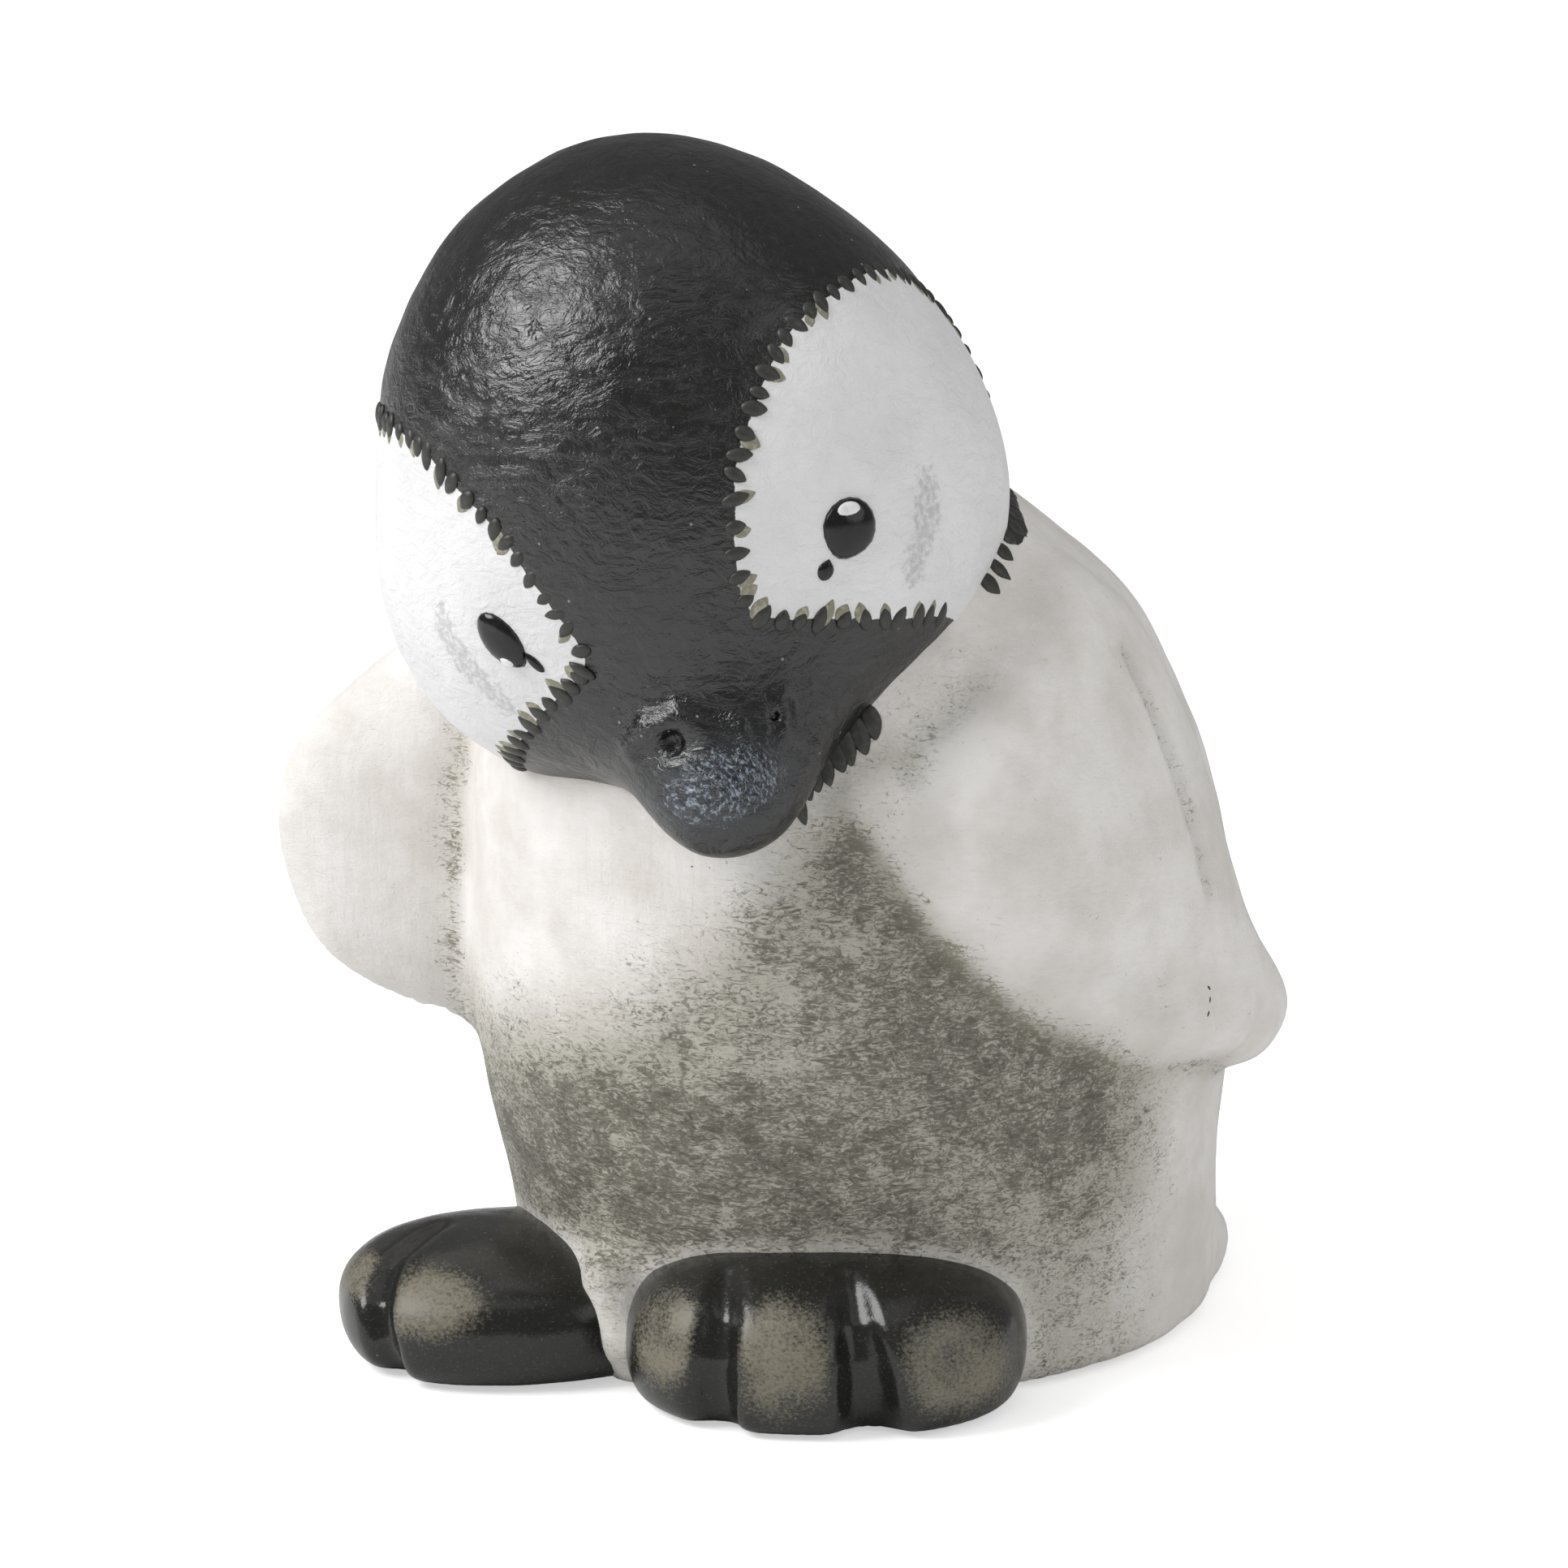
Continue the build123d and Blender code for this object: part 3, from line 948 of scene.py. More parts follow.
def brushed_wash() -> bpy.types.NodeTree:
    """Thin grey paint dragged over dry white with a stiff brush, in crossed strokes.

    Returns:
        The effect's node group.
    """
    desk, given, result = new_group("brushed_wash", {"Density": 0.5}, ("Mask", "Deep", "Height"))
    place = given.outputs["Place"]
    level = desk.grain(place, Grain(0.0012, 5.0, 0.65, (0.2, 0.1, 0.0), (0.6, 0.6, 1.5), 1.8))
    slant = desk.grain(place, Grain(0.0012, 5.0, 0.65, (0.0, 1.0, 0.6), (0.6, 1.0, 1.7), 2.2))
    strokes = desk.math("MAXIMUM", level, slant)
    patchiness = 0.36
    patches = desk.grain(place, Grain(0.0045, 4.0, 0.65))
    raised = desk.math("ADD", strokes, desk.math("MULTIPLY_ADD", patches, patchiness, -patchiness / 2))
    bare_level, bare_fall = 0.7, -0.26
    bare = desk.math("MULTIPLY_ADD", given.outputs["Density"], bare_fall, bare_level)
    for name, above, sharpness in (("Mask", 0.0, 8.0), ("Deep", 0.09, 5.0)):
        over = desk.math("SUBTRACT", desk.math("SUBTRACT", raised, above), bare)
        clean = desk.math("MINIMUM", desk.math("MAXIMUM", desk.math("MULTIPLY", over, sharpness), 0.0), 1.0)
        desk.tree.links.new(clean, result.inputs[name])
    desk.tree.links.new(strokes, result.inputs["Height"])
    return desk.tree


def paint_skin() -> bpy.types.NodeTree:
    """The relief of hand-laid paint: soft peel, fine grain and a few pits.

    Returns:
        The effect's node group.
    """
    desk, given, result = new_group("paint_skin", {"Peel": 1.0, "Pits": 1.0}, ("Height", "Cloud"))
    place = given.outputs["Place"]
    pits_each_metre, pit_floor, pit_rim = 170.0, 0.03, 0.07
    grain_share, pit_share = 0.3, 0.5
    spots = desk.put("ShaderNodeTexVoronoi", {"Vector": place, "Scale": pits_each_metre, "Randomness": 1.0})
    pit = desk.ease(spots.outputs["Distance"], pit_floor, pit_rim)
    height = desk.math("MULTIPLY", desk.grain(place, Grain(0.0016, 3.0, 0.6)), given.outputs["Peel"])
    height = desk.math("MULTIPLY_ADD", desk.grain(place, Grain(0.00035, 2.0, 0.5)), grain_share, height)
    height = desk.math("MULTIPLY_ADD", desk.math("MULTIPLY", pit, given.outputs["Pits"]), pit_share, height)
    desk.tree.links.new(height, result.inputs["Height"])
    desk.tree.links.new(desk.grain(place, Grain(0.012, 3.0, 0.6)), result.inputs["Cloud"])
    return desk.tree


def dust_specks() -> bpy.types.NodeTree:
    """Tiny pale specks, thinly scattered.

    Returns:
        The effect's node group.
    """
    desk, given, result = new_group("dust_specks", {"Amount": 1.0}, ("Mask",))
    place = given.outputs["Place"]
    rarity, softness = 0.55, 1.8
    total: object = 0.0
    for spread, radius in ((0.0034, 0.035), (0.0021, 0.03)):
        cells = desk.put("ShaderNodeTexVoronoi", {"Vector": place, "Scale": 1 / spread, "Randomness": 1.0})
        lot = desk.put("ShaderNodeSeparateColor", {0: cells.outputs["Color"]}).outputs[0]
        chosen = desk.math("GREATER_THAN", lot, rarity)
        speck = desk.ease(cells.outputs["Distance"], radius, radius * softness, 1.0, 0.0)
        total = desk.math("MULTIPLY_ADD", speck, chosen, total)
    desk.tree.links.new(desk.math("MULTIPLY", total, given.outputs["Amount"]), result.inputs["Mask"])
    return desk.tree


@dataclass(frozen=True)
class Effects:
    """The shared effects, each built once."""

    wash: bpy.types.NodeTree = field(default_factory=brushed_wash)
    skin: bpy.types.NodeTree = field(default_factory=paint_skin)
    specks: bpy.types.NodeTree = field(default_factory=dust_specks)


# Finishes


class Mark(str, Enum):
    """The painted masks that the meshes carry."""

    CAP = "cap"
    SPONGE = "sponge"
    SILVER = "silver"
    # Grey wash on the belly, deepened in places by painted shade under the left flipper.
    WASH_AND_SHADE = "wash"
    CREASE = "crease"
    COLLAR = "collar"
    TOES = "toes"


@dataclass(frozen=True)
class CapAndCheeks:
    """Satin black cap and beak with matte white cheeks."""

    black: Colour = shade(17, 17, 16)
    worn_black: Colour = shade(32, 32, 31)
    white: Colour = shade(236, 236, 237)
    dull_white: Colour = shade(228, 228, 229)
    grey: Colour = shade(184, 184, 184)
    silver: Colour = shade(146, 157, 168)
    blued_black: Colour = shade(31, 36, 41)
    speck: Colour = shade(150, 150, 146)
    ragged: Grain = Grain(0.0009)
    streak: Grain = Grain(0.0012, 4.0, 0.6, (0.3, 0.2, 0.0), (1.0, 1.0, 0.25))
    rising: Grain = Grain(0.0007, 5.0, 0.75, (0.9, 0.3, 0.2), (0.5, 2.6, 1.0))
    falling: Grain = Grain(0.0007, 5.0, 0.75, (-0.6, 0.3, 0.9), (0.5, 2.6, 1.0))
    sponge: Grain = Grain(0.0008, 3.0, 0.6)
    crinkle: Grain = Grain(0.0034, 4.0, 0.6, (0.4, 0.2, 0.1), (1.0, 1.0, 1.6), 1.6)
    raggedness: float = 0.5
    edge_softness: float = 0.06
    wear: Range = (0.5, 0.8)
    dullness: Range = (0.35, 0.7)
    silver_pull: float = 0.35
    silver_range: Range = (0.85, 1.03)
    blue_share: float = 0.7
    sponge_pull: float = 0.4
    sponge_range: tuple[float, ...] = (0.68, 1.0, 0.0, 0.7)
    gloss_range: tuple[float, ...] = (0.3, 0.7, 0.23, 0.33)
    matte: float = 0.6
    crinkle_depth: float = 0.0007
    crinkle_strength: float = 0.55
    relief: Range = (0.00016, 0.8)
    specular: float = 0.85

    def build(self, effects: Effects) -> bpy.types.Material:
        """Mix the two paints by the cap's painted edge.

        Args:
            effects: The shared effects.

        Returns:
            The material.
        """
        material, desk, shader = new_material("cap_and_cheeks")
        place = desk.place()
        skin = desk.use(effects.skin, {"Place": place, "Peel": 1.0, "Pits": 0.6})
        ragged = desk.grain(place, self.ragged)
        ragged = desk.math("MULTIPLY_ADD", ragged, self.raggedness, -self.raggedness / 2)
        edge = desk.math("ADD", desk.mark(Mark.CAP.value), ragged)
        cap = desk.ease(edge, -self.edge_softness, self.edge_softness)
        gloss = desk.ease(skin.outputs["Cloud"], *self.gloss_range)
        crinkled = desk.bump(desk.grain(place, self.crinkle), self.crinkle_depth, self.crinkle_strength)
        join(
            desk,
            shader,
            Base_Color=desk.blend(cap, self._cheek(desk, place, skin), self._cap(desk, place, effects)),
            Roughness=desk.math("MULTIPLY_ADD", cap, desk.math("SUBTRACT", gloss, self.matte), self.matte),
            Normal=desk.bump(skin.outputs["Height"], *self.relief, crinkled),
        )
        shader.inputs["Specular IOR Level"].default_value = self.specular
        return material

    def _cap(self, desk: Desk, place: Socket, effects: Effects) -> Socket:
        """Mix the black of the cap, with specks and the beak's silver brushing.

        Args:
            desk: The material's desk.
            place: The point being shaded.
            effects: The shared effects.

        Returns:
            The colour.
        """
        silvered = desk.mark(Mark.SILVER.value)
        black = desk.blend(desk.ease(desk.grain(place, self.streak), *self.wear), self.black, self.worn_black)
        specks = desk.use(effects.specks, {"Place": place, "Amount": 0.7}).outputs["Mask"]
        black = desk.blend(specks, black, self.speck)
        bristle = desk.math("MAXIMUM", desk.grain(place, self.rising), desk.grain(place, self.falling))
        silver = desk.math("MULTIPLY_ADD", silvered, self.silver_pull, bristle)
        black = desk.blend(desk.math("MULTIPLY", silvered, self.blue_share), black, self.blued_black)
        return desk.blend(desk.ease(silver, *self.silver_range), black, self.silver)

    def _cheek(self, desk: Desk, place: Socket, skin: bpy.types.Node) -> Socket:
        """Mix the white of the cheeks, with the grey sponge marks.

        Args:
            desk: The material's desk.
            place: The point being shaded.
            skin: The relief of the paint.

        Returns:
            The colour.
        """
        white = desk.blend(desk.ease(skin.outputs["Cloud"], *self.dullness), self.white, self.dull_white)
        sponged = desk.mark(Mark.SPONGE.value)
        dabbed = desk.math("MULTIPLY_ADD", sponged, self.sponge_pull, desk.grain(place, self.sponge))
        return desk.blend(desk.ease(dabbed, *self.sponge_range), white, self.grey)


@dataclass(frozen=True)
class DownPaint:
    """Matte off-white down, brushed with grey on the belly and in the creases, with painted shade under the
    left flipper carried in the belly wash.
    """

    white: Colour = shade(242, 239, 236)
    warm: Colour = shade(222, 217, 211)
    film: Colour = shade(178, 175, 164)
    wash: Colour = shade(110, 107, 94)
    deep_wash: Colour = shade(62, 60, 50)
    crease: Colour = shade(138, 134, 118)
    black: Colour = shade(50, 50, 46)
    drag: Grain = Grain(0.0013, 3.0, 0.55, (0.0, 0.0, 0.0), (1.0, 1.0, 0.12))
    warmth: Range = (0.3, 0.75)
    film_stroke: float = 0.8
    film_bare: float = -0.45
    film_range: Range = (0.05, 0.85)
    wash_share: float = 0.85
    deep_share: float = 0.8
    crease_share: float = 0.75
    crease_film: float = 0.4
    collar_softness: float = 0.1
    stroke_height: float = 1.1
    drag_height: float = 1.3
    gloss_range: tuple[float, ...] = (0.3, 0.7, 0.52, 0.66)
    relief: Range = (0.00014, 0.8)

    def build(self, effects: Effects) -> bpy.types.Material:
        """Lay the washes over the white.

        Args:
            effects: The shared effects.

        Returns:
            The material.
        """
        material, desk, shader = new_material("down_paint")
        place = desk.place()
        # The belly wash mask also carries painted shade under the left flipper's leading edge.
        covered, creased = desk.mark(Mark.WASH_AND_SHADE.value), desk.mark(Mark.CREASE.value)
        skin = desk.use(effects.skin, {"Place": place, "Peel": 1.0, "Pits": 0.3})
        wash = desk.use(effects.wash, {"Place": place, "Density": covered})
        strokes = wash.outputs["Height"]
        painted = desk.blend(desk.ease(skin.outputs["Cloud"], *self.warmth), self.white, self.warm)
        film = desk.math("ADD", covered, desk.math("MULTIPLY_ADD", strokes, self.film_stroke, self.film_bare))
        painted = desk.blend(desk.ease(film, *self.film_range), painted, self.film)
        painted = desk.blend(desk.math("MULTIPLY", wash.outputs["Mask"], self.wash_share), painted, self.wash)
        deep = desk.math("MULTIPLY", wash.outputs["Deep"], self.deep_share)
        painted = desk.blend(deep, painted, self.deep_wash)
        sunk = desk.use(effects.wash, {"Place": place, "Density": creased}).outputs["Mask"]
        faint = desk.math("MULTIPLY", creased, self.crease_film)
        soft = desk.math("MULTIPLY_ADD", sunk, self.crease_share, faint)
        painted = desk.blend(desk.math("MINIMUM", soft, 1.0), painted, self.crease)
        collar = desk.ease(desk.mark(Mark.COLLAR.value), -self.collar_softness, self.collar_softness)
        height = desk.math("MULTIPLY_ADD", strokes, self.stroke_height, skin.outputs["Height"])
        height = desk.math("MULTIPLY_ADD", desk.grain(place, self.drag), self.drag_height, height)
        join(
            desk,
            shader,
            Base_Color=desk.blend(collar, painted, self.black),
            Roughness=desk.ease(skin.outputs["Cloud"], *self.gloss_range),
            Normal=desk.bump(height, *self.relief),
        )
        return material


@dataclass(frozen=True)
class FootPaint:
    """Glossy black feet with toes brushed in dry stone grey."""

    black: Colour = shade(32, 32, 30)
    brushed: Colour = shade(126, 121, 105)
    grain: Grain = Grain(0.0005, 6.0, 0.75, (0.0, 0.0, 0.4), (1.0, 1.0, 1.5))
    contrast: float = 1.7
    darkening: float = -0.35
    touch: float = 0.6
    dry_range: Range = (0.55, 1.25)
    wet_roughness: float = 0.2
    dry_roughness: float = 0.35
    relief: Range = (0.0001, 0.6)

    def build(self, effects: Effects) -> bpy.types.Material:
        """Brush the toes over the gloss.

        Args:
            effects: The shared effects.

        Returns:
            The material.
        """
        material, desk, shader = new_material("foot_paint")
        place = desk.place()
        skin = desk.use(effects.skin, {"Place": place, "Peel": 0.8, "Pits": 0.5})
        coarse = desk.math("MULTIPLY_ADD", desk.grain(place, self.grain), self.contrast, self.darkening)
        touched = desk.math("MULTIPLY_ADD", desk.mark(Mark.TOES.value), self.touch, coarse)
        dry = desk.ease(touched, *self.dry_range)
        specks = desk.use(effects.specks, {"Place": place, "Amount": 0.5}).outputs["Mask"]
        colour = desk.blend(dry, self.black, self.brushed)
        join(
            desk,
            shader,
            Base_Color=desk.blend(specks, colour, self.brushed),
            Roughness=desk.math("MULTIPLY_ADD", dry, self.dry_roughness, self.wet_roughness),
            Normal=desk.bump(skin.outputs["Height"], *self.relief),
        )
        return material


@dataclass(frozen=True)
class Enamel:
    """One thick glossy or satin colour for eyes, glints and single strokes."""

    name: str
    colour: Colour
    paler: Colour
    roughness: float
    streak: Grain = Grain(0.0007, 2.0)
    streaks: Range = (0.4, 0.8)
    relief: Range = (0.00005, 0.5)

    def build(self, effects: Effects) -> bpy.types.Material:
        """Mix a colour with a little streaking from the brush.

        Args:
            effects: The shared effects.

        Returns:
            The material.
        """
        material, desk, shader = new_material(self.name)
        place = desk.place()
        skin = desk.use(effects.skin, {"Place": place, "Peel": 0.6, "Pits": 0.0})
        streaked = desk.ease(desk.grain(place, self.streak), *self.streaks)
        join(
            desk,
            shader,
            Base_Color=desk.blend(streaked, self.colour, self.paler),
            Normal=desk.bump(skin.outputs["Height"], *self.relief),
        )
        shader.inputs["Roughness"].default_value = self.roughness
        return material


@dataclass(frozen=True)
class Felt:
    """Pressed black felt with short loose fibres."""

    dark: Colour = shade(38, 38, 40)
    light: Colour = shade(62, 62, 64)
    fibre_turns: tuple[float, ...] = (0.5, 2.0)
    fibre_range: Range = (0.45, 0.75)
    relief_depth: float = 0.0003
    roughness: float = 0.95

    def build(self) -> bpy.types.Material:
        """Cross two stretched noises as fibres.

        Returns:
            The material.
        """
        material, desk, shader = new_material("felt")
        place = desk.place()
        ways = [Grain(0.0006, 5.0, 0.7, (0.0, 0.0, turn), (0.3, 1.6, 1.0)) for turn in self.fibre_turns]
        fibres = desk.math("MAXIMUM", *(desk.grain(place, way) for way in ways))
        join(
            desk,
            shader,
            Base_Color=desk.blend(desk.ease(fibres, *self.fibre_range), self.dark, self.light),
            Normal=desk.bump(fibres, self.relief_depth),
        )
        shader.inputs["Roughness"].default_value = self.roughness
        return material


@dataclass(frozen=True)
class RawCasting:
    """Bare cast stone with its grain."""

    pale: Colour = shade(206, 203, 196)
    dark: Colour = shade(178, 174, 166)
    grain: Grain = Grain(0.0015, 5.0, 0.65)
    mottle: Range = (0.35, 0.7)
    relief_depth: float = 0.0002
    roughness: float = 0.85

    def build(self) -> bpy.types.Material:
        """Mottle the grain, and raise it a little.

        Returns:
            The material.
        """
        material, desk, shader = new_material("raw_casting")
        grain = desk.grain(desk.place(), self.grain)
        join(
            desk,
            shader,
            Base_Color=desk.blend(desk.ease(grain, *self.mottle), self.pale, self.dark),
            Normal=desk.bump(grain, self.relief_depth),
        )
        shader.inputs["Roughness"].default_value = self.roughness
        return material


@dataclass(frozen=True)
class PinSteel:
    """Drawn steel with fine lines."""

    bright: Colour = shade(188, 190, 192)
    dull: Colour = shade(150, 152, 155)
    drawn: Grain = Grain(0.0004, 3.0, 0.55, (0.0, 0.0, 0.0), (1.0, 1.0, 0.1))
    gloss_range: tuple[float, ...] = (0.3, 0.7, 0.28, 0.42)

    def build(self) -> bpy.types.Material:
        """Draw fine lines along the metal.

        Returns:
            The material.
        """
        material, desk, shader = new_material("pin_steel")
        lines = desk.grain(desk.place(), self.drawn)
        join(
            desk,
            shader,
            Base_Color=desk.blend(lines, self.bright, self.dull),
            Roughness=desk.ease(lines, *self.gloss_range),
        )
        shader.inputs["Metallic"].default_value = 1.0
        return material


# Head


@dataclass(frozen=True)
class HeadPose:
    """How the head sits: turned, nodded and tilted, about its own centre."""

    centre: Place = (-4.0, -28.0, 108.6)
    turn: float = 27.0
    nod: float = 18.0
    tilt: float = 20.0

    def axes(self) -> tuple[np.ndarray, np.ndarray, np.ndarray]:
        """The head's own directions.

        Returns:
            Its left, face and top directions.
        """
        turn, nod, tilt = (math.radians(value) for value in (self.turn, self.nod, self.tilt))
        face = np.array([math.sin(turn), -math.cos(turn), 0.0])
        left = np.array([math.cos(turn), math.sin(turn), 0.0])
        top = np.array([0.0, 0.0, 1.0])
        face, top = face * math.cos(nod) - top * math.sin(nod), top * math.cos(nod) + face * math.sin(nod)
        left, top = left * math.cos(tilt) + top * math.sin(tilt), top * math.cos(tilt) - left * math.sin(tilt)
        return left, face, top

    def way(self, across: float, rise: float) -> np.ndarray:
        """A direction from the head's centre.

        Args:
            across: Degrees towards its left.
            rise: Degrees up.

        Returns:
            The direction at length one.
        """
        left, face, top = self.axes()
        across, rise = math.radians(across), math.radians(rise)
        return math.cos(rise) * (math.sin(across) * left + math.cos(across) * face) + math.sin(rise) * top

    def angles(self, points: np.ndarray) -> tuple[np.ndarray, np.ndarray]:
        """Where points stand, seen from the head's centre.

        Args:
            points: Places to look at, one row each.

        Returns:
            Degrees towards the left, and degrees up.
        """
        left, face, top = self.axes()
        local = points - np.array(self.centre)
        local = local / np.linalg.norm(local, axis=1)[:, None]
        across = np.degrees(np.arctan2(local @ left, local @ face))
        return across, np.degrees(np.arcsin(np.clip(local @ top, -1, 1)))


@dataclass(frozen=True)
class EyeLook:
    """Where one eye's bead, tear drop and glint lie in the photograph, each with its width."""

    side: str
    bead: Touch
    tear: Touch
    glint: Touch


@dataclass
class Head:
    """The head and the beak, with their painted cap, cheeks, eyes and border strokes."""

    effects: Effects
    pose: HeadPose = HeadPose()
    half_width: float = 36.6
    half_depth: float = 37.2
    crown: float = 41.6
    chin: float = 35.5
    drop: float = 3.0
    shift: float = 0.8
    beak_droop: float = 27.0
    beak_blend: float = 6.0
    cell: float = 0.75
    beak_rings: Rows = (
        (8, 0, -3.0, 31, 19),
        (22, 0, -3.0, 27, 16),
        (32, 0, -2.5, 19, 12),
        (40, 0, -2.5, 13, 9.5),
        (47, 0, -2.5, 9, 7),
        (53, 0, -3.0, 5.5, 4.5),
    )
    silver_patch: Oval = (890, 968, 124, 72, -18)
    sponge_lines: tuple[tuple[Pixel, ...], ...] = (
        ((1140, 590), (1142, 640), (1124, 706)),
        ((543, 756), (566, 806), (622, 868)),
    )
    cheek_outline: tuple[Pixel, ...] = (
        (17, -7), (16, 0), (18.5, 8), (21, 13), (24, 19), (33, 27), (44, 33), (56, 35),
        (74, 33), (92, 26), (106, 12), (112, -6), (110, -24), (98, -42), (76, -48), (60, -40),
        (52, -30), (38, -20), (27, -13),
    )
    flat_way: Pixel = (0.735, 0.679)
    flat_reach: float = 36.2
    flat_radius: float = 90.0
    jowl_shift: Pixel = (12.4, 10.9)
    jowl_radius: float = 24.0
    nostril_pixels: tuple[Pixel, Pixel] = ((829, 914), (962, 880))
    swelling_lines: tuple[Drawn, ...] = (
        (((778, 925), (798, 898), (836, 884), (868, 900)), (1.7, 2.3, 2.2, 1.5)),
        (((815, 948), (850, 944)), (1.3, 1.0)),
        (((965, 868), (968, 900)), (1.5, 1.2)),
        (((914, 888), (918, 912)), (1.0, 0.8)),
        (((940, 878), (944, 902)), (1.1, 0.8)),
    )
    pit_line: Drawn = (((658, 404), (664, 412)), (0.35, 0.3))
    eye_looks: tuple[EyeLook, ...] = (
        EyeLook(
            side="left",
            bead=((1058, 613), (1034, 689), 6.9),
            tear=((1022, 689), (1014, 716), 2.0),
            glint=((1029, 630), (1057, 626), 2.0),
        ),
        EyeLook(
            side="right",
            bead=((592, 755), (646, 822), 5.2),
            tear=((646, 804), (670, 829), 1.2),
            glint=((620, 803), (636, 817), 1.5),
        ),
    )
    sponge_reach: float = 1.6
    stroke_spacing: Range = (1.9, 3.3)
    stroke_length: Range = (2.3, 3.6)
    stroke_width: Range = (1.5, 2.1)
    stroke_slant: float = 0.5
    olive_share: float = 0.65
    olive_drift: float = 0.9

    def __post_init__(self) -> None:
        """Place the egg and the beak."""
        left, face, top = self.pose.axes()
        self.egg_centre = np.array(self.pose.centre) - top * self.drop - left * self.shift
        rows = np.stack([left, -face, top])
        self.upper = Ellipsoid(self.egg_centre, rows, (self.half_width, self.half_depth, self.crown))
        self.lower = Ellipsoid(self.egg_centre, rows, (self.half_width, self.half_depth, self.chin))
        right, up_view, _ = VIEW.axes()
        slope = self.flat_way[0] * right + self.flat_way[1] * up_view
        flat_centre = self.egg_centre + slope * (self.flat_reach - self.flat_radius)
        self.flat = Ellipsoid(flat_centre, np.eye(3), (self.flat_radius,) * 3)
        jowl = self.egg_centre - self.jowl_shift[0] * right - self.jowl_shift[1] * up_view
        self.jowl = Ellipsoid(jowl, np.eye(3), (self.jowl_radius,) * 3)
        droop = math.radians(self.beak_droop)
        along = face * math.cos(droop) - top * math.sin(droop)
        up = top * math.cos(droop) + face * math.sin(droop)
        self.top = top
        beak_axes = np.stack([np.cross(up, along), up, along])
        self.beak_form = RingLoft(self.pose.centre, beak_axes, self.beak_rings, 6.0)
        self.sponges = [Thread(cast_all(line, self.whole), (0.5, 1.2, 0.5)) for line in self.sponge_lines]
        nostril, other = cast_all(self.nostril_pixels, self.whole)
        self.swellings = [traced(drawn, self.whole) for drawn in self.swelling_lines]
        self.hollows = [
            Thread([nostril, nostril + 0.4 * up], (1.3, 1.0)),
            Thread([other - 0.9 * self.pose.axes()[0], other - 1.3 * up], (0.5, 0.4)),
            traced(self.pit_line, self.whole),
        ]

    def egg(self, points: np.ndarray) -> np.ndarray:
        """Distance from the egg, taller above its centre than below.

        Args:
            points: Places to look at, one row each.

        Returns:
            One distance for each point.
        """
        above = (points - self.egg_centre) @ self.top > 0
        near = np.where(above, self.upper.distance(points), self.lower.distance(points))
        near = smooth_union(near, self.jowl.distance(points), 6.0)
        return smooth_overlap(near, self.flat.distance(points), 10.0)

    def whole(self, points: np.ndarray) -> np.ndarray:
        """Distance from the egg and the beak together."""
        return smooth_union(self.egg(points), self.beak_form.distance(points), self.beak_blend)

    def cheek_edge(self, points: np.ndarray) -> np.ndarray:
        """Distance of each point from the cheeks' outline, positive on the black.

        Args:
            points: Places to look at, one row each.

        Returns:
            One distance for each point.
        """
        across, rise = self.pose.angles(points)
        outline = self.outline_degrees()
        flat = np.stack([np.abs(across), rise], 1)
        inside = np.zeros(len(points), bool)
        nearest = np.full(len(points), 1e9)
        squeeze = np.cos(np.radians(rise))
        for start, end in zip(outline, np.roll(outline, -1, axis=0)):
            crosses = (start[1] > flat[:, 1]) != (end[1] > flat[:, 1])
            run = np.where(end[1] == start[1], 1e-9, end[1] - start[1])
            inside ^= crosses & (flat[:, 0] < (end[0] - start[0]) * (flat[:, 1] - start[1]) / run + start[0])
            span = np.stack([(end[0] - start[0]) * squeeze, np.full(len(points), end[1] - start[1])], 1)
            gap = np.stack([(flat[:, 0] - start[0]) * squeeze, flat[:, 1] - start[1]], 1)
            share = np.clip((gap * span).sum(1) / np.maximum((span * span).sum(1), 1e-9), 0, 1)
            nearest = np.minimum(nearest, np.linalg.norm(gap - span * share[:, None], axis=1))
        size = np.radians(nearest) * np.linalg.norm(points - np.array(self.pose.centre), axis=1)
        return np.where(inside, -size, size)

    def outline_degrees(self) -> np.ndarray:
        """The cheek's outline, rounded through its corners.

        Returns:
            Degrees across and up, one row for each place of the outline.
        """
        corners = np.array(self.cheek_outline, float)
        count = len(corners)
        places = np.arange(-3, count + 4)
        fine, across = natural_curve(places.astype(float), corners[places % count, 0])
        _, rise = natural_curve(places.astype(float), corners[places % count, 1])
        keep = (fine >= 0) & (fine < count)
        return np.stack([across[keep], rise[keep]], 1)[::6]

    def marks(self, points: np.ndarray) -> dict[str, np.ndarray]:
        """The painted masks of the head.

        Args:
            points: The mesh's points.

        Returns:
            The masks by name.
        """
        near = np.minimum(self.sponges[0].distance(points), self.sponges[1].distance(points))
        sponge = fading(near, self.sponge_reach)
        silver = seen_patch(points, self.silver_patch)
        silver = silver * ease(24.0, 36.0, (points - self.egg_centre) @ self.pose.axes()[1])
        return {Mark.CAP.value: self.cheek_edge(points), Mark.SPONGE.value: sponge, Mark.SILVER.value: silver}

